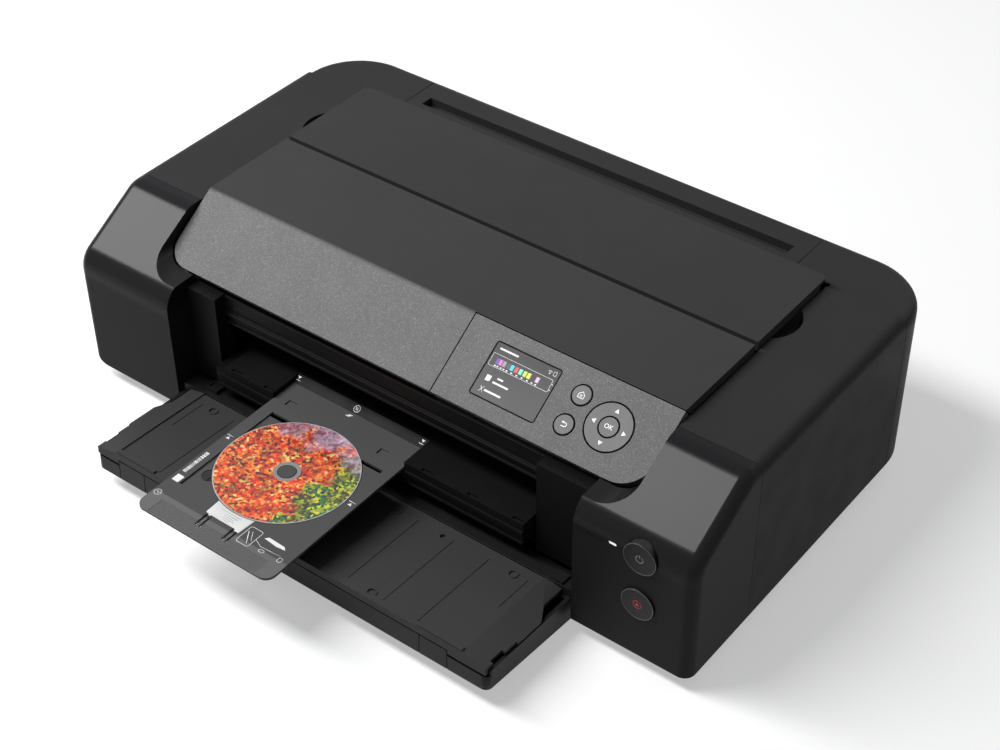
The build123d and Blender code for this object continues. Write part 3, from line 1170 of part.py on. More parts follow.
# Capping station under the parked carriage, with a waste ink pad
with BuildPart() as capping_station:
    block((CARRIAGE_X - 26, y_carriage + 10, FLANGE_TOP + 4), (CARRIAGE_X + 26, y_carriage_end - 10, HEAD_LOW - 1))
    block((CARRIAGE_X - 26, y_carriage + 4, FOOT_HEIGHT + BASE_FLOOR), (CARRIAGE_X + 26, y_carriage_end, FLANGE_TOP + 4))
save(capping_station.part, "capping_station")

with BuildPart() as waste_pad:
    block((-PLATEN_HALF + 35, y_carriage + 12, FOOT_HEIGHT + BASE_FLOOR),
          (PLATEN_HALF - 35, platen_back - 10, FLANGE_TOP))
save(waste_pad.part, "waste_pad")


# Sheet feeder: a sloped plate between side walls, with a pick-up roller and two paper guides
hopper_plane = Plane(
    origin=(0, Y_FRONT + HOPPER_FOOT[0], HOPPER_FOOT[1]),
    x_dir=(1, 0, 0),
    z_dir=(0, -sin(radians(HOPPER_ANGLE)), cos(radians(HOPPER_ANGLE))),
)
pickup_up = 20.0
pickup_clear = PICKUP_R + 0.8
pickup = (hopper_plane * Pos(0, pickup_up, pickup_clear)).position
with BuildPart() as hopper:
    with BuildSketch(hopper_plane.offset(-3)):
        Rectangle(2 * HOPPER_HALF, HOPPER_LENGTH, align=(Align.CENTER, Align.MIN))
    extrude(amount=3)
    with BuildSketch(Plane.YZ.offset(-HOPPER_HALF - hopper_wall)):
        with BuildLine():
            y0, z0 = Y_FRONT + HOPPER_FOOT[0] - 12, HOPPER_FOOT[1]
            y1 = Y_LID_END - 12 - flange_fit
            Polyline((y0, z0 + 40), (y0, z0 - 4), (y0 + 14, z0 - 8), (y1, z0 + 60), (y1, FRAME_TOP),
                     (hopper_front + flange_fit, FRAME_TOP), (hopper_front + flange_fit, FRAME_LOW - 6),
                     (y0, z0 + 40))
        make_face()
    extrude(amount=hopper_wall)
    with BuildSketch(Plane.YZ.offset(HOPPER_HALF)):
        with BuildLine():
            Polyline((y0, z0 + 40), (y0, z0 - 4), (y0 + 14, z0 - 8), (y1, z0 + 60), (y1, FRAME_TOP),
                     (hopper_front + flange_fit, FRAME_TOP), (hopper_front + flange_fit, FRAME_LOW - 6),
                     (y0, z0 + 40))
        make_face()
    extrude(amount=hopper_wall)
    rod_x(-HOPPER_HALF - 5, HOPPER_HALF + 5, pickup.Y, pickup.Z, SHAFT_R + RUN_FIT, Mode.SUBTRACT)
save(hopper.part, "hopper")

with BuildPart() as pickup_roller:
    rod_x(-HOPPER_HALF - hopper_wall, HOPPER_HALF + hopper_wall, pickup.Y, pickup.Z, SHAFT_R)
    for x in (-40, 40):
        rod_x(x - 12, x + 12, pickup.Y, pickup.Z, PICKUP_R)
save(pickup_roller.part, "pickup_roller")

guide_travel = 100.0
with BuildPart() as paper_guide_right:
    with BuildSketch(hopper_plane.offset(GAP)):
        with Locations((GUIDE_PLATE_X, 45)):
            Rectangle(2.5, 34, align=(Align.MIN, Align.MIN))
    extrude(amount=17)
    with BuildSketch(hopper_plane.offset(GAP)):
        with Locations((GUIDE_PLATE_X - 30, 50)):
            Rectangle(31, 22, align=(Align.MIN, Align.MIN))
    extrude(amount=1.5)
save(paper_guide_right.part, "paper_guide_right")
save(mirrored(paper_guide_right.part), "paper_guide_left")

# Power supply and main board on the base, and the sockets in the rear cover
with BuildPart() as power_supply:
    block((-CHASSIS_X + 14.5, Y_BACK - 143, FOOT_HEIGHT + BASE_FLOOR),
          (-CHASSIS_X + 104.5, Y_BACK - 75, FLANGE_TOP + 30))
save(power_supply.part, "power_supply")

board_x = -CHASSIS_X + 130.5
board_wide = 2 * CHASSIS_X - 221
board_y = Y_BACK - 140
chip_height = 4.4
with BuildPart() as main_board:
    block((board_x, board_y, FLANGE_TOP), (board_x + board_wide, Y_BACK - 50, FLANGE_TOP + 1.6))
    for share, wide in ((0.11, 30), (0.33, 40), (0.61, 24), (0.83, 30)):
        x = board_x + share * board_wide
        block((x - wide / 2, board_y + 25, FLANGE_TOP + 1.5),
              (x + wide / 2, board_y + 25 + wide, FLANGE_TOP + 1.6 + chip_height))
save(main_board.part, "main_board")

with BuildPart() as rear_sockets:
    for low, high in (INLET_BOX, DATA_BOX):
        block((low[0] + GAP / 2, Y_BACK - 22, low[1] + GAP / 2), (high[0] - GAP / 2, Y_BACK - 0.5, high[1] - GAP / 2))
    inlet_x = (INLET_BOX[0][0] + INLET_BOX[1][0]) / 2
    inlet_z = (INLET_BOX[0][1] + INLET_BOX[1][1]) / 2
    with BuildSketch(Plane.XZ.offset(-Y_BACK)):
        with Locations((inlet_x, inlet_z)):
            SlotOverall(22, 12)
    extrude(amount=14, mode=Mode.SUBTRACT)
    for x in (inlet_x - 4, inlet_x + 4):
        rod_y(Y_BACK - 16, Y_BACK - 4, x, inlet_z, 1.4)
    for low, wide in ((DATA_BOX[0][0] + 4, 14), (DATA_BOX[0][0] + 23, 13)):
        block((low, Y_BACK - 12, DATA_BOX[0][1] + 4), (low + wide, Y_BACK + 1, DATA_BOX[1][1] - 6), Mode.SUBTRACT)
save(rear_sockets.part, "rear_sockets")
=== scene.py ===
"""Wide inkjet photo printer: looks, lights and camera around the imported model."""
import math
import random

import bpy
from bpy.props import FloatProperty, FloatVectorProperty, IntProperty, PointerProperty
from mathutils import Matrix, Vector


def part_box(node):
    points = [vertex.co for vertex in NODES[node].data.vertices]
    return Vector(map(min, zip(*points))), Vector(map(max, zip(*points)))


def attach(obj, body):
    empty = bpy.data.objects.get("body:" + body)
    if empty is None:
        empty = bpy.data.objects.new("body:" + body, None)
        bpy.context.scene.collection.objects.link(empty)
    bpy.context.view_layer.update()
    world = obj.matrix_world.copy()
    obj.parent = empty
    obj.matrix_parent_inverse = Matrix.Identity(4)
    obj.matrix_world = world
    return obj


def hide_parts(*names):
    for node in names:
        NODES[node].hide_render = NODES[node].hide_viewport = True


bl_info = {
    "name": "Photo printer looks",
    "version": (1, 0, 0),
    "blender": (4, 5, 0),
    "location": "View3D > Sidebar > Photo printer",
    "description": "Finishes, printed marks, trays, lights and camera of a wide photo printer",
    "category": "Object",
}

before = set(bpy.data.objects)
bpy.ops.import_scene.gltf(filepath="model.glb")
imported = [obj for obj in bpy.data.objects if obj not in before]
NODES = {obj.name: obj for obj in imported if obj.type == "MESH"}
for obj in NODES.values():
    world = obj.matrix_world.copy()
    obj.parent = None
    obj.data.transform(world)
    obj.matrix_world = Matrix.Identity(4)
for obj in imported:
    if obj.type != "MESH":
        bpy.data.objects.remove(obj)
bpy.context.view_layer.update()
MM = 0.001
Y_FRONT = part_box("right_front_cover")[0].y / MM
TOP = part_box("rear_tray_lid")[1].z / MM
# Sloped panel: its angle, and where it bends into the top
SLOPE = math.radians(34.0)
BEND_BACK = 96.0
# Sloped back of the guide's notch: its angle, and the foot of it
NOTCH_ANGLE = 32.1
NOTCH_BACK = 41.25
NOTCH_Z = 70.65
# Places on the sloped panel, from its bend
SCREEN_AT = (108.2, -36.8)
HOME_AT = (163.6, -24.0)
BACK_AT = (162.8, -50.4)
RING_AT = (196.4, -37.2)
# Places on the front face
BUTTON_X = 272.0
BUTTON_FACE = 1.75
POWER_Z = 116.5
STOP_Z = 69.5
# Disc tray: its upper face, the disc's middle, and the line where the painted highlight on its front
# end starts
TRAY_TOP = 68.0
DISC_X = -35.0
DISC_BACK = -49.0
TRAY_FRONT_LINE = -127.0
# Front covers: top of their upright faces, and half their width
CHAMFER_Z = 0.118
COVER_HALF = 0.318


def front(back):
    """Place behind the front face, in millimetres, as a Y coordinate in metres."""
    return (Y_FRONT + back) * MM


def axes_matrix(across, rise, out, spot):
    """Matrix of a frame with three given axes at a given place."""
    return Matrix(((across.x, rise.x, out.x, spot.x), (across.y, rise.y, out.y, spot.y),
                   (across.z, rise.z, out.z, spot.z), (0, 0, 0, 1)))


def leaning_matrix(lean, foot, u, v, lift):
    """Frame on a face that leans back: X to the right, Y up the slope, Z out of it."""
    across = Vector((1, 0, 0))
    rise = Vector((0, math.cos(lean), math.sin(lean)))
    out = Vector((0, -math.sin(lean), math.cos(lean)))
    return axes_matrix(across, rise, out, foot + (across * u + rise * v + out * lift) * MM)


def slope_matrix(u, v, lift=0.0):
    """Frame on the sloped panel, measured in millimetres from the middle of its bend."""
    return leaning_matrix(SLOPE, Vector((0, front(BEND_BACK), TOP * MM)), u, v, lift)


def guide_matrix(x, up=0.0, lift=0.0):
    """Frame on the sloped back of the guide's notch, in millimetres from the middle of its foot."""
    foot = Vector((0, front(NOTCH_BACK), NOTCH_Z * MM))
    return leaning_matrix(math.radians(NOTCH_ANGLE), foot, x, up, lift)


def front_matrix(x, z, proud=0.0):
    """Frame on the front face: X to the right, Y up, Z out to the front."""
    return Matrix(((1, 0, 0, x * MM), (0, 0, -1, front(-proud)), (0, 1, 0, z * MM), (0, 0, 0, 1)))


def flat_matrix(x, back, z):
    """Frame on a level face: X to the right, Y to the back, Z up."""
    return Matrix.Translation((x * MM, front(back), z * MM))


# Finishes
def new_finish(name):
    """Empty material with a Principled shader, and its nodes and links."""
    mat = bpy.data.materials.new(name)
    mat.use_nodes = True
    tree = mat.node_tree
    return mat, tree, tree.nodes["Principled BSDF"]


def noise(tree, scale, detail=3.0, rough=0.5):
    """Noise on Object coordinates, scale in cells per metre."""
    place = tree.nodes.new("ShaderNodeTexCoord")
    made = tree.nodes.new("ShaderNodeTexNoise")
    made.inputs["Scale"].default_value = scale
    made.inputs["Detail"].default_value = detail
    made.inputs["Roughness"].default_value = rough
    tree.links.new(place.outputs["Object"], made.inputs["Vector"])
    return made.outputs["Fac"]


def spread(tree, value, low, high, start=0.3, end=0.7):
    """A 0 to 1 value stretched between two levels."""
    node = tree.nodes.new("ShaderNodeMapRange")
    node.inputs["From Min"].default_value = start
    node.inputs["From Max"].default_value = end
    node.inputs["To Min"].default_value = low
    node.inputs["To Max"].default_value = high
    tree.links.new(value, node.inputs["Value"])
    return node.outputs["Result"]


def mix(tree, factor, first, second):
    """Mix of two colours by a factor socket. Each colour is a socket or an RGB triple."""
    node = tree.nodes.new("ShaderNodeMix")
    node.data_type = "RGBA"
    tree.links.new(factor, node.inputs[0])
    for socket, colour in ((node.inputs[6], first), (node.inputs[7], second)):
        if isinstance(colour, bpy.types.NodeSocket):
            tree.links.new(colour, socket)
        else:
            socket.default_value = (*colour, 1.0)
    return node.outputs[2]


def shade(colour, factor):
    """A colour made darker or lighter."""
    return tuple(min(1.0, c * factor) for c in colour)


def shown(tree):
    """One for rays that show the background: from the camera, off a shiny face or through glass."""
    rays = tree.nodes.new("ShaderNodeLightPath")
    last = rays.outputs["Is Camera Ray"]
    for name in ("Is Glossy Ray", "Is Transmission Ray"):
        either = tree.nodes.new("ShaderNodeMath")
        either.operation = "MAXIMUM"
        tree.links.new(last, either.inputs[0])
        tree.links.new(rays.outputs[name], either.inputs[1])
        last = either.outputs["Value"]
    return last


def bump(tree, shader, height, depth):
    """Fine relief from a height socket, depth in metres."""
    node = tree.nodes.new("ShaderNodeBump")
    node.inputs["Strength"].default_value = 1.0
    node.inputs["Distance"].default_value = depth
    tree.links.new(height, node.inputs["Height"])
    tree.links.new(node.outputs["Normal"], shader.inputs["Normal"])


def plastic(name, colour, rough, grain=900.0, depth=0.00002, level=0.5, wear=0.12):
    """Moulded plastic: fine grain, with slow changes of tone and gloss."""
    mat, tree, shader = new_finish(name)
    fine = noise(tree, grain, 2.0)
    slow = noise(tree, 7.0, 4.0)
    tone = mix(tree, spread(tree, slow, 0.0, 1.0), shade(colour, 1 - wear), shade(colour, 1 + wear))
    tree.links.new(tone, shader.inputs["Base Color"])
    tree.links.new(spread(tree, noise(tree, 31.0, 5.0), rough * 0.93, rough * 1.1),
                   shader.inputs["Roughness"])
    shader.inputs["Specular IOR Level"].default_value = level
    bump(tree, shader, fine, depth)
    return mat


def glitter(name, dark, light, rough, level, line=None, plain=None):
    """Speckled plastic. In front of a line across the piece it shows specks, behind it a plain tone."""
    mat, tree, shader = new_finish(name)
    place = tree.nodes.new("ShaderNodeTexCoord")
    cells = tree.nodes.new("ShaderNodeTexVoronoi")
    cells.inputs["Scale"].default_value = 2500.0
    tree.links.new(place.outputs["Object"], cells.inputs["Vector"])
    parts = tree.nodes.new("ShaderNodeSeparateColor")
    tree.links.new(cells.outputs["Color"], parts.inputs["Color"])
    specks = spread(tree, parts.outputs["Red"], 0.0, 1.0, 0.9, 1.0)
    soft = spread(tree, noise(tree, 300.0, 4.0, 0.75), 0.0, 1.0, 0.35, 0.7)
    base = mix(tree, soft, shade(dark, 0.9), shade(dark, 1.1))
    tone = mix(tree, specks, base, light)
    if line is not None:
        axes = tree.nodes.new("ShaderNodeSeparateXYZ")
        tree.links.new(place.outputs["Object"], axes.inputs["Vector"])
        behind = spread(tree, axes.outputs["Y"], 0.0, 1.0, line - 0.003, line + 0.001)
        slow = noise(tree, 6.0, 4.0)
        flat = mix(tree, spread(tree, slow, 0.0, 1.0), shade(plain, 0.95), shade(plain, 1.05))
        tone = mix(tree, behind, tone, flat)
    tree.links.new(tone, shader.inputs["Base Color"])
    tree.links.new(spread(tree, noise(tree, 37.0, 4.0), rough - 0.04, rough + 0.04),
                   shader.inputs["Roughness"])
    shader.inputs["Specular IOR Level"].default_value = level
    bump(tree, shader, noise(tree, 1300.0, 2.0), 0.00002)
    return mat


def painted_front_highlight(name, colour, ahead, line, rough, level):
    """Moulded plastic with a lighter front end, ahead of a line across the piece: a painted highlight
    where light falls on that end.
    """
    mat = plastic(name, colour, rough, level=level, wear=0.06)
    tree = mat.node_tree
    place = tree.nodes.new("ShaderNodeTexCoord")
    axes = tree.nodes.new("ShaderNodeSeparateXYZ")
    tree.links.new(place.outputs["Object"], axes.inputs["Vector"])
    # painted highlight: mask that is one ahead of the line, where the front end is made lighter
    highlight_mask = spread(tree, axes.outputs["Y"], 1.0, 0.0, line - 0.0004, line + 0.0004)
    shader = tree.nodes["Principled BSDF"]
    body = shader.inputs["Base Color"].links[0].from_socket
    tree.links.new(mix(tree, highlight_mask, body, ahead), shader.inputs["Base Color"])
    return mat


def dull_sides(mat, sheen, dull, low, wide):
    """Makes a finish duller on the upright faces: below a height and beyond a width, both in metres."""
    tree = mat.node_tree
    place = tree.nodes.new("ShaderNodeTexCoord")
    axes = tree.nodes.new("ShaderNodeSeparateXYZ")
    tree.links.new(place.outputs["Object"], axes.inputs["Vector"])
    side = tree.nodes.new("ShaderNodeMath")
    side.operation = "ABSOLUTE"
    tree.links.new(axes.outputs["X"], side.inputs[0])
    either = tree.nodes.new("ShaderNodeMath")
    either.operation = "MAXIMUM"
    tree.links.new(spread(tree, axes.outputs["Z"], 1.0, 0.0, low - 0.01, low + 0.004), either.inputs[0])
    tree.links.new(spread(tree, side.outputs["Value"], 0.0, 1.0, wide - 0.003, wide), either.inputs[1])
    tree.links.new(spread(tree, either.outputs["Value"], sheen, dull, 0.0, 1.0),
                   tree.nodes["Principled BSDF"].inputs["Roughness"])


def display(name, upper, lower):
    """Screen glass, darker at its top, with slow changes of tone."""
    mat, tree, shader = new_finish(name)
    low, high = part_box("lcd_screen")
    place = tree.nodes.new("ShaderNodeTexCoord")
    axes = tree.nodes.new("ShaderNodeSeparateXYZ")
    tree.links.new(place.outputs["Object"], axes.inputs["Vector"])
    rise = spread(tree, axes.outputs["Z"], 0.0, 1.0, low.z + 0.006, high.z)
    tone = mix(tree, rise, lower, upper)
    cloud = mix(tree, spread(tree, noise(tree, 40.0, 2.0), 0.0, 0.1), tone, (0.15, 0.15, 0.15))
    tree.links.new(cloud, shader.inputs["Base Color"])
    shader.inputs["Roughness"].default_value = 0.3
    shader.inputs["Specular IOR Level"].default_value = 0.12
    return mat


def metal(name, colour, rough, streak):
    """Sheet or ground steel with fine drawn streaks along X."""
    mat, tree, shader = new_finish(name)
    place = tree.nodes.new("ShaderNodeTexCoord")
    turn = tree.nodes.new("ShaderNodeMapping")
    turn.inputs["Scale"].default_value = (streak, 1.0, 1.0)
    grain = tree.nodes.new("ShaderNodeTexNoise")
    grain.inputs["Scale"].default_value = 700.0
    tree.links.new(place.outputs["Object"], turn.inputs["Vector"])
    tree.links.new(turn.outputs["Vector"], grain.inputs["Vector"])
    tone = mix(tree, spread(tree, grain.outputs["Fac"], 0.0, 1.0), shade(colour, 0.85),
               shade(colour, 1.1))
    tree.links.new(tone, shader.inputs["Base Color"])
    tree.links.new(spread(tree, grain.outputs["Fac"], rough - 0.06, rough + 0.08),
                   shader.inputs["Roughness"])
    shader.inputs["Metallic"].default_value = 1.0
    bump(tree, shader, grain.outputs["Fac"], 0.00001)
    return mat


def ink(name, colour, glow=0.0, rough=0.5):
    """Printed or lit mark, with a little unevenness in its ink."""
    mat, tree, shader = new_finish(name)
    patch = spread(tree, noise(tree, 900.0, 2.0), 0.0, 1.0)
    tone = mix(tree, patch, shade(colour, 0.93), colour)
    tree.links.new(tone, shader.inputs["Base Color"])
    if glow:
        tree.links.new(tone, shader.inputs["Emission Color"])
        shader.inputs["Emission Strength"].default_value = glow
    shader.inputs["Roughness"].default_value = rough
    return mat


# Modelling helpers: every piece is made in place, and its object stays at the origin
def pick_none():
    """Nothing selected, so that an operator acts on the new piece alone."""
    bpy.ops.object.select_all(action="DESELECT")


def only(obj):
    """One piece selected and active."""
    pick_none()
    obj.select_set(True)
    bpy.context.view_layer.objects.active = obj


def settle(obj, name, body, mat, place=None):
    """Names a piece, puts its place in its mesh, gives it its finish and hangs it on its body."""
    obj.name = name
    obj.data.name = name
    if place is not None:
        obj.data.transform(place)
    obj.data.materials.clear()
    for one in mat if isinstance(mat, (list, tuple)) else [mat]:
        obj.data.materials.append(one)
    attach(obj, body)
    return obj


def close_up(obj):
    """Merges doubles and points all faces outwards."""
    only(obj)
    bpy.ops.object.mode_set(mode="EDIT")
    bpy.ops.mesh.select_all(action="SELECT")
    bpy.ops.mesh.remove_doubles(threshold=0.000001)
    bpy.ops.mesh.normals_make_consistent(inside=False)
    bpy.ops.object.mode_set(mode="OBJECT")


def soften(obj, width, segments=2, angle=40.0):
    """Rounds the edges of a finished piece and smooths its shading."""
    only(obj)
    made = obj.modifiers.new("Edges", "BEVEL")
    made.width = width * MM
    made.segments = segments
    made.limit_method = "ANGLE"
    made.angle_limit = math.radians(angle)
    bpy.ops.object.modifier_apply(modifier=made.name)
    bpy.ops.object.shade_smooth_by_angle(angle=math.radians(35))


def plate(outline, thick, low=0.0, edge=0.0):
    """Flat plate in millimetres: a filled ring moved to an outline, then raised."""
    pick_none()
    bpy.ops.mesh.primitive_circle_add(vertices=len(outline), radius=0.01, fill_type="NGON")
    obj = bpy.context.object
    for corner, (x, y) in zip(obj.data.vertices, outline):
        corner.co = (x * MM, y * MM, low * MM)
    bpy.ops.object.mode_set(mode="EDIT")
    bpy.ops.mesh.select_all(action="SELECT")
    bpy.ops.mesh.extrude_region_move(TRANSFORM_OT_translate={"value": (0, 0, thick * MM)})
    bpy.ops.object.mode_set(mode="OBJECT")
    close_up(obj)
    if edge:
        soften(obj, edge)
    return obj


def rectangle(x, y, wide, high):
    """Corners of a rectangle round its middle."""
    a, b = wide / 2, high / 2
    return [(x - a, y - b), (x + a, y - b), (x + a, y + b), (x - a, y + b)]


def rounded(x, y, wide, high, radius, steps=5):
    """Outline of a rectangle with round corners."""
    points = []
    for turn, (sx, sy) in enumerate(((1, 1), (-1, 1), (-1, -1), (1, -1))):
        for step in range(steps + 1):
            angle = math.radians(90 * (turn + step / steps))
            points.append((x + sx * (wide / 2 - radius) + radius * math.cos(angle),
                           y + sy * (high / 2 - radius) + radius * math.sin(angle)))
    return points


def arc(x, y, radius, start, end, steps=16):
    """Points along an arc, angles in degrees."""
    return [(x + radius * math.cos(math.radians(start + (end - start) * i / steps)),
             y + radius * math.sin(math.radians(start + (end - start) * i / steps)))
            for i in range(steps + 1)]


def line(points, width, thick=0.06, low=0.0, closed=False):
    """Printed line: a round stroke along points, pressed flat and made a mesh."""
    pick_none()
    curve = bpy.data.curves.new("line", "CURVE")
    curve.dimensions = "3D"
    run = curve.splines.new("POLY")
    run.points.add(len(points) - 1)
    for spot, (x, y) in zip(run.points, points):
        spot.co = (x * MM, y * MM, 0, 1)
    run.use_cyclic_u = closed
    curve.bevel_depth = width / 2 * MM
    curve.bevel_resolution = 1
    curve.use_fill_caps = not closed
    obj = bpy.data.objects.new("line", curve)
    bpy.context.collection.objects.link(obj)
    only(obj)
    bpy.ops.object.convert(target="MESH")
    obj = bpy.context.object
    flat = Matrix.Diagonal((1, 1, thick / width, 1))
    obj.data.transform(Matrix.Translation((0, 0, (low + thick / 2) * MM)) @ flat)
    close_up(obj)
    return obj


def word(text, x, y, size, thick=0.06, low=0.0):
    """Plain lettering, centred, made a mesh."""
    pick_none()
    bpy.ops.object.text_add()
    obj = bpy.context.object
    obj.data.body = text
    obj.data.align_x = "CENTER"
    obj.data.align_y = "CENTER"
    obj.data.size = size * MM
    obj.data.extrude = thick / 2 * MM
    bpy.ops.object.convert(target="MESH")
    obj = bpy.context.object
    obj.data.transform(Matrix.Translation((x * MM, y * MM, (low + thick / 2) * MM)))
    close_up(obj)
    return obj


def join(objs):
    """Several meshes made one."""
    pick_none()
    for obj in objs:
        obj.select_set(True)
    bpy.context.view_layer.objects.active = objs[0]
    if len(objs) > 1:
        bpy.ops.object.join()
    return bpy.context.object


class PrinterSizes(bpy.types.PropertyGroup):
    """Sizes that a user would change."""
    mark_thick: FloatProperty(
        name="Mark thickness", description="Height of printed marks, in millimetres",
        default=0.06, min=0.01, max=0.3)
    key_proud: FloatProperty(
        name="Key height", description="How far the keys stand above the panel, in millimetres",
        default=0.5)
    disc_radius: FloatProperty(
        name="Disc radius", description="Outer radius of the disc, in millimetres", default=60.0)
    edge_round: FloatProperty(
        name="Edge rounding", description="Rounding of moulded edges, in millimetres", default=0.6)
    chips: IntProperty(
        name="Disc pattern cells", description="Cells of the disc's pattern per metre", default=420)


class PrinterColours(bpy.types.PropertyGroup):
    """Colours that a user would change."""
    case: FloatVectorProperty(
        name="Case", description="Satin black of the covers", subtype="COLOR",
        default=(0.010, 0.010, 0.0105))
    side: FloatVectorProperty(
        name="Sides", description="Matt black of side panels and back", subtype="COLOR",
        default=(0.028, 0.028, 0.0285))
    top: FloatVectorProperty(
        name="Top", description="Matt dark grey of lid and top cover", subtype="COLOR",
        default=(0.035, 0.035, 0.035))
    speckle: FloatVectorProperty(
        name="Speckled slope", description="Base grey of the speckled slope", subtype="COLOR",
        default=(0.142, 0.140, 0.142))
    tray: FloatVectorProperty(
        name="Trays", description="Dark grey of the trays", subtype="COLOR",
        default=(0.040, 0.040, 0.041))
    key: FloatVectorProperty(
        name="Keys", description="Grey of the panel keys", subtype="COLOR",
        default=(0.150, 0.148, 0.151))
    mark: FloatVectorProperty(
        name="Marks", description="White of printed marks", subtype="COLOR",
        default=(0.8, 0.8, 0.8))


def sizes():
    """The printer's sizes."""
    return bpy.context.scene.printer_sizes


def colours():
    """The printer's colours."""
    return bpy.context.scene.printer_colours


def white_ink():
    """Shared white of the printed marks."""
    return bpy.data.materials.get("white marks") or ink("white marks", tuple(colours().mark))


class PRINTER_OT_frame_finishes(bpy.types.Operator):
    """Gives every CAD node its finish and rounds the sharp edges of the outer covers"""
    bl_idname = "printer.frame_finishes"
    bl_label = "Frame finishes"

    def execute(self, context):
        c = colours()
        specks = (0.36, 0.36, 0.37)
        case = plastic("satin black", tuple(c.case), 0.2, depth=0.000003, level=0.1, wear=0.06)
        dull_sides(case, 0.2, 0.55, CHAMFER_Z, COVER_HALF)
        side = plastic("side black", tuple(c.side), 0.5, depth=0.00002, level=0.05, wear=0.05)
        shell = plastic("shell black", tuple(c.case), 0.4, level=0.15)
        top = plastic("matt top", tuple(c.top), 0.6, grain=1200.0, depth=0.00003, level=0.08,
                      wear=0.05)
        speckled = glitter("speckled top", tuple(c.speckle), specks, 0.5, 0.12,
                           line=front(BEND_BACK), plain=tuple(c.top))
        panel = glitter("speckled panel", tuple(c.speckle), specks, 0.5, 0.12)
        tray = plastic("tray grey", tuple(c.tray), 0.42, level=0.1, wear=0.06)
        # painted highlight: the disc tray's front end, ahead of TRAY_FRONT_LINE, is made lighter
        disc_tray = painted_front_highlight("disc tray grey with painted highlight", (0.072, 0.072, 0.073), (0.13, 0.13, 0.132),
                             front(TRAY_FRONT_LINE), 0.42, 0.1)
        inner = plastic("inner black", (0.004, 0.004, 0.0045), 0.5, level=0.1)
        guide = plastic("guide black", (0.005, 0.005, 0.005), 0.5, level=0.08)
        steel = metal("zinc steel", (0.55, 0.56, 0.57), 0.35, 0.05)
        ground = metal("ground steel", (0.7, 0.7, 0.71), 0.18, 0.02)
        pins = metal("dark pins", (0.4, 0.4, 0.41), 0.3, 0.1)
        rubber = plastic("rubber", (0.018, 0.018, 0.018), 0.75, grain=500.0, level=0.3)
        acetal = plastic("white acetal", (0.72, 0.72, 0.68), 0.4)
        board = plastic("circuit board", (0.03, 0.14, 0.06), 0.4, grain=300.0)
        key = plastic("key grey", tuple(c.key), 0.4, level=0.2)
        button = plastic("front button grey", (0.009, 0.009, 0.0095), 0.3, level=0.2)
        screen = display("screen glass", (0.012, 0.012, 0.012), (0.075, 0.078, 0.075))
        lamp = ink("lamp lens", (0.9, 0.92, 0.95), glow=0.8, rough=0.3)
        tank = plastic("tinted tank", (0.03, 0.03, 0.035), 0.2)
        felt = plastic("felt", (0.6, 0.59, 0.56), 0.95, grain=400.0, depth=0.0003)
        worn = {
            case: "left_front_cover right_front_cover paper_guide_left paper_guide_right",
            side: "left_side_panel right_side_panel rear_cover rear_caps manual_feed_cover",
            shell: "output_tray",
            top: "rear_tray_lid",
            speckled: "top_cover",
            panel: "operation_panel",
            tray: "tray_extension",
            disc_tray: "disc_tray",
            guide: "disc_guide",
            inner: "base_pan upper_frame inner_bezel inner_floor hopper hinge_brackets platen"
                   " star_wheel_bar rear_sockets capping_station paper_support print_carriage"
                   " print_head power_supply",
            steel: "left_chassis right_chassis carriage_rail panel_bracket motors",
            ground: "guide_rod feed_roller",
            pins: "screws hinge_pins",
            rubber: "feet carriage_belt pickup_roller output_roller",
            acetal: "idler_gear motor_pinion drive_pulley idler_pulley",
            board: "main_board circuit_boards",
            key: "home_button back_button ok_button arrow_ring",
            button: "power_button stop_button",
            screen: "lcd_screen",
            lamp: "power_lamp",
            tank: "ink_tanks",
            felt: "waste_pad",
            ink("disc base", (0.6, 0.5, 0.4)): "disc",
        }
        rounded_edges = {
            1.2: "rear_tray_lid output_tray tray_extension",
            0.8: "disc_guide inner_bezel",
            0.6: "power_button stop_button disc_tray",
            1.0: "manual_feed_cover",
        }
        given = set()
        for mat, names in worn.items():
            for name in names.split():
                NODES[name].data.materials.clear()
                NODES[name].data.materials.append(mat)
                given.add(name)
        for share, names in rounded_edges.items():
            for name in names.split():
                weld = NODES[name].modifiers.new("Weld", "WELD")
                weld.merge_threshold = 0.00001
                edges = NODES[name].modifiers.new("Edges", "BEVEL")
                edges.width = share * sizes().edge_round * MM
                edges.segments = 2
                edges.limit_method = "ANGLE"
                edges.angle_limit = math.radians(50)
        if given != set(NODES):
            raise RuntimeError(f"nodes without a finish: {sorted(set(NODES) ^ given)}")
        return {"FINISHED"}


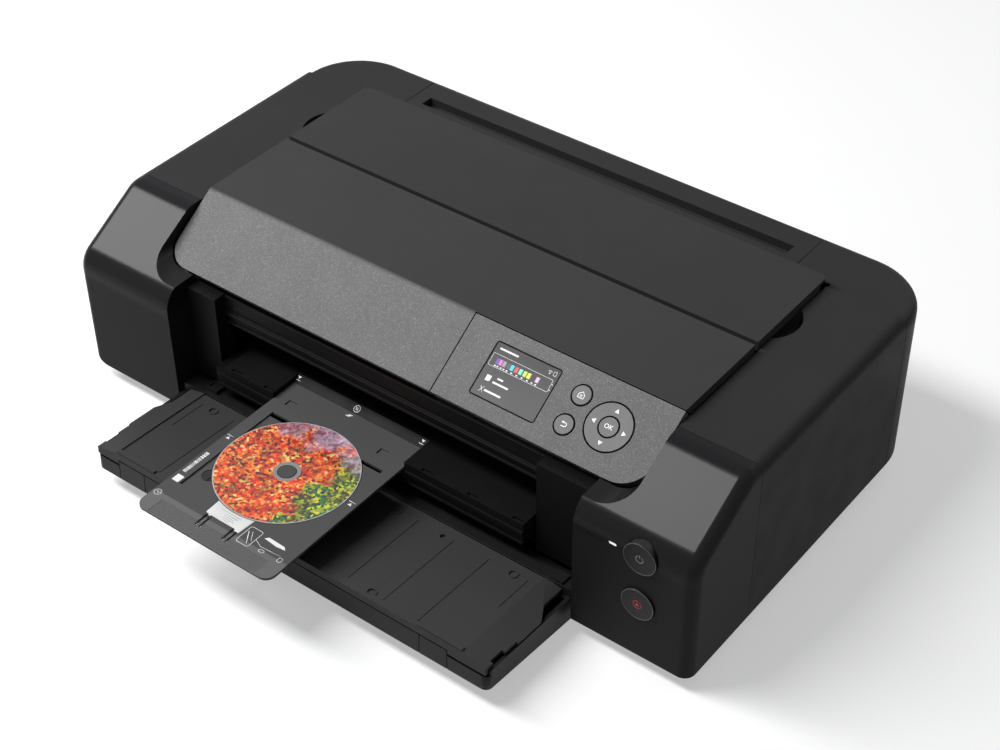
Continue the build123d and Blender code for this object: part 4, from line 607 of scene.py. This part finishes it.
class PRINTER_OT_screen(bpy.types.Operator):
    """Models what the screen shows: a plain menu with a row of ink levels"""
    bl_idname = "printer.screen"
    bl_label = "Screen"

    def execute(self, context):
        place = slope_matrix(*SCREEN_AT, -0.2)
        thick = 0.05
        white = ink("screen white", (0.75, 0.75, 0.75), glow=0.25)
        shapes = []
        # title, three menu lines
        for x, y, wide, high in ((-17.5, 18.6, 18, 1.5), (-12.2, -4.2, 5.5, 1.5),
                                 (-9.8, -8.3, 15, 1.5), (-12.4, -16.6, 16, 1.6)):
            shapes.append(plate(rounded(x, y, wide, high, 0.5), thick))
        # ticks under the ink levels, and the frame round both
        for x in (-22.9, -20.4, -17.4, -14.6, -11.6, -7.0, -2.0, 3.0, 8.2, 12.6, 16.2):
            shapes.append(plate(rounded(x, 4.4, 1.7, 1.0, 0.3), thick))
        shapes.append(line(rounded(-0.5, 8.4, 57, 10.5, 0.8), 0.35, thick, closed=True))
        # sheet, tools, battery and signal signs
        shapes.append(plate([(-24.6, -9.2), (-21.2, -9.2), (-20.2, -8.2), (-20.2, -4.2), (-24.6, -4.2)],
                            thick))
        shapes.append(line([(-24.6, -19.2), (-21.4, -14.2)], 0.6, thick))
        shapes.append(line([(-21.0, -19.2), (-24.4, -14.6)], 0.6, thick))
        shapes.append(line(rounded(26.6, 18.6, 2.6, 3.4, 0.4), 0.35, thick, closed=True))
        for radius in (1.3, 2.4):
            shapes.append(line(arc(22.0, 17.2, radius, 45, 135, 8), 0.4, thick))
        shapes.append(plate(arc(22.0, 17.2, 0.5, 0, 330, 11), thick))
        shapes.append(plate([(28.4, 9.6), (29.6, 9.6), (29.0, 10.8)], thick))
        shapes.append(plate([(28.4, 5.6), (29.6, 5.6), (29.0, 4.4)], thick))
        settle(join(shapes), "screen_marks", "case", white, place)
        inks = ((0.10, 0.04, 0.30), (0.65, 0.12, 0.62), (0.25, 0.24, 0.25), (0.02, 0.03, 0.04),
                (0.06, 0.50, 0.52), (0.55, 0.05, 0.06), (0.16, 0.62, 0.50), (0.45, 0.65, 0.04),
                (0.72, 0.70, 0.08), (0.60, 0.42, 0.60))
        spots = (-22.4, -19.8, -16.2, -12.0, -8.6, -4.4, -0.4, 3.8, 7.6, 15.8)
        for index, (x, colour) in enumerate(zip(spots, inks)):
            level = plate(rounded(x, 8.4, 3.0, 4.6, 0.3), thick)
            settle(level, f"ink_level_{index + 1}", "case", ink(f"ink {index + 1}", colour, glow=0.3),
                   place)
        return {"FINISHED"}


class PRINTER_OT_key_marks(bpy.types.Operator):
    """Prints the signs on the panel's keys, and lays black rings of painted shade in the gaps round the
    keys, the ring and the screen
    """
    bl_idname = "printer.key_marks"
    bl_label = "Key marks"

    def execute(self, context):
        proud, thick = sizes().key_proud, sizes().mark_thick
        lit = ink("key signs", (0.85, 0.85, 0.85), glow=0.45)
        # painted shade: near-black, dull finish for rings laid where the gaps round the keys fall into
        # shade
        dark = plastic("painted gap shade", (0.002, 0.002, 0.002), 0.6, level=0.02)
        house = [
            line([(-2.6, 0.4), (0, 2.7), (2.6, 0.4), (2.6, -2.6), (-2.6, -2.6)], 0.65, thick,
                 closed=True),
            line([(-0.9, -1.8), (-0.9, 0.3), (0.9, 0.3), (0.9, -1.8)], 0.35, thick, closed=True),
            line([(-0.9, -0.7), (0.9, -0.7)], 0.3, thick),
            line([(0, -1.8), (0, 0.3)], 0.3, thick),
        ]
        settle(join(house), "home_mark", "home_button", lit, slope_matrix(*HOME_AT, proud))
        hook = [(-1.4, 1.6), (0.8, 1.6)] + arc(0.8, 0.0, 1.6, 90, -90, 10) + [(-2.0, -1.6)]
        back = [line(hook, 0.7, thick), plate([(-2.6, 1.6), (-0.9, 0.5), (-0.9, 2.7)], thick)]
        settle(join(back), "back_mark", "back_button", lit, slope_matrix(*BACK_AT, proud))
        settle(word("OK", 0, 0, 5.2, thick), "ok_mark", "ok_button", lit,
               slope_matrix(*RING_AT, proud))
        # painted shade: black lines round the keys, the ring and the screen stand in for the shade in
        # the gaps round them
        gap_shade_rings = [line(arc(*spot, radius, 0, 354, 60), 1.1, thick, closed=True)
                    for spot, radius in ((HOME_AT, 8.7), (BACK_AT, 8.7), (RING_AT, 20.3))]
        gap_shade_rings.append(line(rounded(*SCREEN_AT, 62.4, 46.9, 2.2), 1.0, thick, closed=True))
        settle(join(gap_shade_rings), "panel_gap_shade", "case", dark, slope_matrix(0, 0))
        # painted shade in the gap between the arrow ring and the OK key
        settle(line(arc(0, 0, 8.7, 0, 354, 48), 0.9, thick, closed=True), "ring_gap_shade", "arrow_ring",
               dark, slope_matrix(*RING_AT, proud / 2))
        arrows = []
        for turn in range(4):
            angle = math.radians(90 * turn)
            tip = [(15.6, 0), (12.4, 1.9), (12.4, -1.9)]
            cos, sin = math.cos(angle), math.sin(angle)
            spun = [(x * cos - y * sin, x * sin + y * cos) for x, y in tip]
            arrows.append(plate(spun, thick))
        settle(join(arrows), "ring_arrows", "arrow_ring", lit,
               slope_matrix(*RING_AT, proud / 2))
        return {"FINISHED"}


class PRINTER_OT_front_marks(bpy.types.Operator):
    """Prints the power and stop signs on the front buttons and sets a lighter ring round each as a
    painted highlight on its front edge
    """
    bl_idname = "printer.front_marks"
    bl_label = "Front button marks"

    def execute(self, context):
        thick = sizes().mark_thick
        # painted highlight: a lighter grey ring on each button's front edge stands in for the light
        # caught by its rounded edge
        rim_highlight = plastic("button rim highlight", (0.10, 0.10, 0.102), 0.3)
        for name, z in (("power", POWER_Z), ("stop", STOP_Z)):
            ring = line(arc(0, 0, 14.1, 0, 354, 60), 0.6, 0.2, closed=True)
            settle(ring, f"{name}_rim", f"{name}_button", rim_highlight,
                   front_matrix(BUTTON_X, z, BUTTON_FACE))
        grey = ink("grey marks", (0.45, 0.45, 0.46))
        red = ink("red marks", (0.62, 0.06, 0.05))
        proud = BUTTON_FACE + 0.05
        power = [line(arc(0, 0, 3.2, 125, 415, 24), 0.5, thick), line([(0, 1.2), (0, 4.0)], 0.5, thick)]
        settle(join(power), "power_mark", "power_button", grey,
               front_matrix(BUTTON_X, POWER_Z, proud))
        stop = [line(arc(0, 0, 3.6, 0, 345, 24), 0.5, thick, closed=True),
                plate([(0, 2.1), (-1.9, -1.2), (1.9, -1.2)], thick)]
        settle(join(stop), "stop_mark", "stop_button", red,
               front_matrix(BUTTON_X, STOP_Z, proud))
        return {"FINISHED"}


def colour_steps(tree, value, tones):
    """Flat steps of colour along a 0 to 1 value, from pairs of place and colour."""
    node = tree.nodes.new("ShaderNodeValToRGB")
    node.color_ramp.interpolation = "CONSTANT"
    for _ in range(len(tones) - 2):
        node.color_ramp.elements.new(0.5)
    for element, (spot, colour) in zip(node.color_ramp.elements, tones):
        element.position = spot
        element.color = (*colour, 1.0)
    tree.links.new(value, node.inputs["Fac"])
    return node.outputs["Color"]


def ragged(tree, wave, along, depth):
    """A distance with a wavy edge, so that two fields meet unevenly."""
    node = tree.nodes.new("ShaderNodeMath")
    node.operation = "MULTIPLY_ADD"
    node.inputs[1].default_value = depth
    tree.links.new(wave, node.inputs[0])
    tree.links.new(along, node.inputs[2])
    return node.outputs["Value"]


def printed_face(name):
    """Printed disc face: chips of warm colours, with a green field and a pale field."""
    mat, tree, shader = new_finish(name)
    place = tree.nodes.new("ShaderNodeTexCoord")
    centre = tree.nodes.new("ShaderNodeMapping")
    centre.inputs["Location"].default_value = (-DISC_X * MM, -front(DISC_BACK), 0.0)
    tree.links.new(place.outputs["Object"], centre.inputs["Vector"])
    chips = tree.nodes.new("ShaderNodeTexVoronoi")
    chips.inputs["Scale"].default_value = sizes().chips
    tree.links.new(centre.outputs["Vector"], chips.inputs["Vector"])
    split = tree.nodes.new("ShaderNodeSeparateColor")
    tree.links.new(chips.outputs["Color"], split.inputs["Color"])
    warm = colour_steps(tree, split.outputs["Red"], (
        (0.0, (0.12, 0.01, 0.01)), (0.14, (0.55, 0.02, 0.01)), (0.34, (0.80, 0.06, 0.01)),
        (0.56, (0.85, 0.16, 0.02)), (0.74, (0.85, 0.32, 0.05)), (0.9, (0.9, 0.62, 0.2))))
    cool = colour_steps(tree, split.outputs["Green"], (
        (0.0, (0.01, 0.05, 0.02)), (0.3, (0.03, 0.16, 0.04)), (0.55, (0.30, 0.38, 0.02)),
        (0.8, (0.65, 0.60, 0.05))))
    pale = mix(tree, split.outputs["Blue"], (0.35, 0.12, 0.20), (0.62, 0.62, 0.85))
    axes = tree.nodes.new("ShaderNodeSeparateXYZ")
    tree.links.new(centre.outputs["Vector"], axes.inputs["Vector"])
    wave = noise(tree, 45.0, 3.0)
    green_side = spread(tree, ragged(tree, wave, axes.outputs["X"], 0.06), 0.0, 1.0, 0.058, 0.062)
    pale_side = spread(tree, ragged(tree, wave, axes.outputs["Y"], 0.08), 0.0, 0.8, 0.072, 0.09)
    tone = mix(tree, pale_side, mix(tree, green_side, warm, cool), pale)
    dim = spread(tree, noise(tree, 110.0, 4.0, 0.7), 0.75, 0.0, 0.36, 0.56)
    tone = mix(tree, dim, tone, (0.07, 0.012, 0.008))
    tree.links.new(tone, shader.inputs["Base Color"])
    shader.inputs["Roughness"].default_value = 0.35
    shader.inputs["Coat Weight"].default_value = 0.3
    return mat


class PRINTER_OT_disc(bpy.types.Operator):
    """Models the printed disc: clear rim, printed band, clamping ring and hub hole"""
    bl_idname = "printer.disc"
    bl_label = "Disc"

    def execute(self, context):
        radius = sizes().disc_radius
        low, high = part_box("disc")
        thick = (high.z - low.z) / MM
        pick_none()
        bpy.ops.mesh.primitive_circle_add(vertices=144, radius=radius * MM, fill_type="NGON")
        obj = bpy.context.object
        bpy.ops.object.mode_set(mode="EDIT")
        bpy.ops.mesh.select_all(action="SELECT")
        clear = 0.9
        # clear rim, printed band, and three rings down to the hub hole
        for step in (clear, radius - clear - 18.5, 4.5, 2.6, 3.3):
            bpy.ops.mesh.inset(thickness=step * MM, depth=0)
        bpy.ops.mesh.delete(type="FACE")
        bpy.ops.mesh.select_all(action="SELECT")
        bpy.ops.mesh.extrude_region_move(TRANSFORM_OT_translate={"value": (0, 0, -thick * MM)})
        bpy.ops.object.mode_set(mode="OBJECT")
        close_up(obj)
        rim = ink("clear rim", (0.42, 0.42, 0.43), rough=0.2)
        ring = ink("clamping ring", (0.23, 0.23, 0.235), rough=0.25)
        place = Matrix.Translation(((low.x + high.x) / 2, (low.y + high.y) / 2, high.z))
        settle(obj, "printed_disc", "disc", [printed_face("printed face"), rim, ring],
               place)
        for face in obj.data.polygons:
            spot = face.center - place.translation
            reach = math.hypot(spot.x, spot.y) / MM
            upward = face.normal.z > 0.5
            if not upward or reach > radius - clear - 0.05:
                face.material_index = 1
            elif reach < 11.9:
                face.material_index = 2
        soften(obj, 0.15, 1, 60)
        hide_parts("disc")
        return {"FINISHED"}


class PRINTER_OT_disc_tray_marks(bpy.types.Operator):
    """Adds the disc tray's light plate with its arms, printed signs and moulded marks"""
    bl_idname = "printer.disc_tray_marks"
    bl_label = "Disc tray marks"

    def execute(self, context):
        thick = sizes().mark_thick
        place = flat_matrix(0, 0, TRAY_TOP)
        label_thick = 0.3
        rim = arc(DISC_X, DISC_BACK, sizes().disc_radius + 0.8, 288, 251, 14)
        label = plate([(-17.4, -124.2), *rim, (-54.2, -121.6), (-50.4, -122.4), (-50.4, -123.5),
                       (-48.4, -123.5), (-48.4, -122.4), (-22.4, -122.4), (-22.4, -124.2)],
                      label_thick, edge=0.1)
        settle(label, "tray_label_plate", "disc_tray",
               plastic("label grey", (0.7, 0.7, 0.7), 0.45, level=0.3), place)
        lines = [line([(x - wide, y), (x + wide, y - 0.02)], 0.35, thick, low=label_thick)
                 for x, y, wide in ((-36.0, -112.2, 10.0), (-34.0, -114.4, 6.5), (-35.0, -116.4, 5.0),
                                    (-33.5, -118.4, 5.8), (-34.5, -120.4, 3.0))]
        settle(join(lines), "label_lines", "disc_tray", ink("label print", (0.3, 0.3, 0.3)),
               place)
        # arrow heads beside the disc, each with a bar behind it
        white = []
        for x in (-101.3, 30.4):
            white.append(plate([(x - 1.9, -48.8), (x + 1.9, -48.8), (x, -45.8)], thick))
            white.append(line([(x - 3.6, -44.4), (x + 3.6, -44.4)], 0.7, thick))
        # row of bars of three widths, with a plain square ahead of it
        rng = random.Random(7)
        y = -98.6
        while y < -71.5:
            wide = rng.choice((0.5, 0.8, 1.3))
            white.append(plate(rectangle(-101.3, y + wide / 2, 3.6, wide), thick))
            y += wide + rng.choice((0.5, 0.8))
        white.append(plate(rounded(-99.6, -107.0, 6.8, 7.8, 0.4), thick))
        # disc sign at the tray's front corner
        white.append(line(arc(-100.9, -128.2, 3.1, 0, 345, 24), 0.5, thick, closed=True))
        white.append(line([(-102.4, -126.6), (-99.4, -129.8)], 0.5, thick))
        white.append(line([(-99.6, -126.8), (-98.9, -128.2)], 0.7, thick))
        # loading sketch: a framed panel, a sheet held by an open lever
        white.append(line(rounded(-8.0, -121.4, 12.5, 19.0, 2.0), 0.5, thick, closed=True))
        white.append(line([(-12.5, -117.0), (-5.0, -128.5)], 0.8, thick))
        white.append(line([(-9.5, -116.0), (-3.8, -124.5)], 0.5, thick))
        white.append(plate([(2.5, -116.0), (5.2, -113.2), (21.5, -113.8), (24.5, -116.4),
                            (16.0, -117.4)], thick))
        white.append(line([(-1.5, -121.0), (6.0, -124.5), (14.5, -124.0), (26.0, -123.4)], 0.45, thick))
        white.append(line(rounded(10.0, -127.8, 5.0, 2.6, 1.2), 0.45, thick, closed=True))
        white.append(line(rounded(28.0, -126.6, 3.6, 4.6, 1.2), 0.45, thick, closed=True))
        settle(join(white), "tray_white_marks", "disc_tray", white_ink(), place)
        small = plate([(-43.6, 31.6), (-40.4, 31.6), (-37.2, 34.8), (-40.4, 34.8)], thick)
        settle(small, "tray_back_mark", "disc_tray", white_ink(), place)
        return {"FINISHED"}


class PRINTER_OT_guide_marks(bpy.types.Operator):
    """Prints the aiming arrows and the disc sign on the guide's sloped notch"""
    bl_idname = "printer.guide_marks"
    bl_label = "Guide marks"

    def execute(self, context):
        thick = sizes().mark_thick
        for name, x in (("left", -103.4), ("right", 31.4)):
            arrow = [plate([(-1.9, 2.6), (1.9, 2.6), (0, 0.2)], thick),
                     line([(-2.8, -1.2), (2.8, -1.2)], 0.6, thick)]
            settle(join(arrow), f"guide_arrow_{name}", "disc_guide", white_ink(),
                   guide_matrix(x))
        sign = [line(arc(0, 0, 3.0, 0, 345, 24), 0.5, thick, closed=True),
                line([(-2.1, 2.1), (2.1, -2.1)], 0.5, thick),
                line(arc(0, 0, 1.1, 0, 330, 12), 0.4, thick, closed=True)]
        settle(join(sign), "guide_disc_sign", "disc_guide", white_ink(), guide_matrix(-38.5))
        return {"FINISHED"}


def pale_floor():
    """Floor that the camera and shiny faces see pale, and that throws little light back."""
    pick_none()
    bpy.ops.mesh.primitive_plane_add(size=12.0, location=(0, 0, 0))
    floor = bpy.context.object
    floor.name = "floor"
    mat, tree, shader = new_finish("pale floor")
    tone = mix(tree, noise(tree, 0.8, 2.0), (0.62, 0.62, 0.62), (0.65, 0.65, 0.65))
    seen = mix(tree, shown(tree), (0.25, 0.25, 0.25), tone)
    tree.links.new(seen, shader.inputs["Base Color"])
    shader.inputs["Emission Color"].default_value = (1, 1, 1, 1)
    tree.links.new(spread(tree, shown(tree), 0.0, 0.44, 0.0, 1.0), shader.inputs["Emission Strength"])
    shader.inputs["Roughness"].default_value = 0.9
    shader.inputs["Specular IOR Level"].default_value = 0.1
    floor.data.materials.append(mat)


def studio_world(scene):
    """Even, weak light from all round, shown as white."""
    world = bpy.data.worlds.new("studio")
    scene.world = world
    world.use_nodes = True
    tree = world.node_tree
    tree.nodes.clear()
    out = tree.nodes.new("ShaderNodeOutputWorld")
    lit = tree.nodes.new("ShaderNodeBackground")
    lit.inputs["Color"].default_value = (0.94, 0.96, 1.0, 1)
    tree.links.new(spread(tree, shown(tree), 0.13, 1.0, 0.0, 1.0), lit.inputs["Strength"])
    tree.links.new(lit.outputs["Background"], out.inputs["Surface"])


def area_lamp(scene, name, spot, along, wide, high, power):
    """Rectangular lamp aimed at the middle of the case, its long side along a direction."""
    light = bpy.data.lights.new(name, "AREA")
    light.shape = "RECTANGLE"
    light.size, light.size_y = wide, high
    light.energy = power
    lamp = bpy.data.objects.new(name, light)
    spot = Vector(spot)
    back = (spot - Vector((0, 0, 0.1))).normalized()
    side = Vector(along)
    side = (side - back * side.dot(back)).normalized()
    lamp.matrix_world = axes_matrix(side, back.cross(side), back, spot)
    scene.collection.objects.link(lamp)


def photo_camera(scene):
    """Camera at the photo's viewing angle."""
    data = bpy.data.cameras.new("camera")
    camera = bpy.data.objects.new("camera", data)
    scene.collection.objects.link(camera)
    scene.camera = camera
    azimuth, height, roll = (math.radians(a) for a in (37.79, 39.65, -0.48))
    back = Vector((math.sin(azimuth) * math.cos(height), -math.cos(azimuth) * math.cos(height),
                   math.sin(height)))
    level = Vector((math.cos(azimuth), math.sin(azimuth), 0))
    above = back.cross(level)
    right = level * math.cos(roll) + above * math.sin(roll)
    up = above * math.cos(roll) - level * math.sin(roll)
    camera.matrix_world = axes_matrix(right, up, back, Vector((0.8045, front(-851.95), 1.119)))
    data.sensor_width = 36.0
    data.lens = 69.82
    data.clip_start, data.clip_end = 0.05, 30.0


class PRINTER_OT_stage(bpy.types.Operator):
    """Sets the floor, the studio lamps, the white background and the camera"""
    bl_idname = "printer.stage"
    bl_label = "Stage"

    def execute(self, context):
        scene = context.scene
        pale_floor()
        studio_world(scene)
        area_lamp(scene, "key lamp", (-1.17, -0.66, 1.93), (1.12, -0.11, 0.33), 1.9, 0.55, 66.0)
        area_lamp(scene, "rear lamp", (0.5, 1.6, 1.3), (1, 0, 0), 1.2, 1.2, 4.0)
        photo_camera(scene)
        scene.view_settings.view_transform = "Standard"
        return {"FINISHED"}


class PRINTER_PT_panel(bpy.types.Panel):
    """Lists the printer's sizes, colours and steps"""
    bl_idname = "PRINTER_PT_panel"
    bl_label = "Photo printer"
    bl_space_type = "VIEW_3D"
    bl_region_type = "UI"
    bl_category = "Photo printer"

    def draw(self, context):
        layout = self.layout
        for group in (context.scene.printer_sizes, context.scene.printer_colours):
            for name in group.bl_rna.properties.keys():
                if name not in ("rna_type", "name"):
                    layout.prop(group, name)
        for step in STEPS:
            layout.operator(step.bl_idname)


STEPS = (PRINTER_OT_frame_finishes, PRINTER_OT_screen, PRINTER_OT_key_marks, PRINTER_OT_front_marks,
         PRINTER_OT_disc, PRINTER_OT_disc_tray_marks, PRINTER_OT_guide_marks, PRINTER_OT_stage)
CLASSES = (PrinterSizes, PrinterColours, *STEPS, PRINTER_PT_panel)


def register():
    """Makes the classes and their settings known to Blender."""
    for one in CLASSES:
        bpy.utils.register_class(one)
    bpy.types.Scene.printer_sizes = PointerProperty(type=PrinterSizes)
    bpy.types.Scene.printer_colours = PointerProperty(type=PrinterColours)


def unregister():
    """Takes the classes and their settings away again."""
    del bpy.types.Scene.printer_sizes
    del bpy.types.Scene.printer_colours
    for one in reversed(CLASSES):
        bpy.utils.unregister_class(one)


def main():
    """Builds everything in order."""
    register()
    for step in STEPS:
        group, name = step.bl_idname.split(".")
        getattr(getattr(bpy.ops, group), name)()


if __name__ == "__main__":
    main()
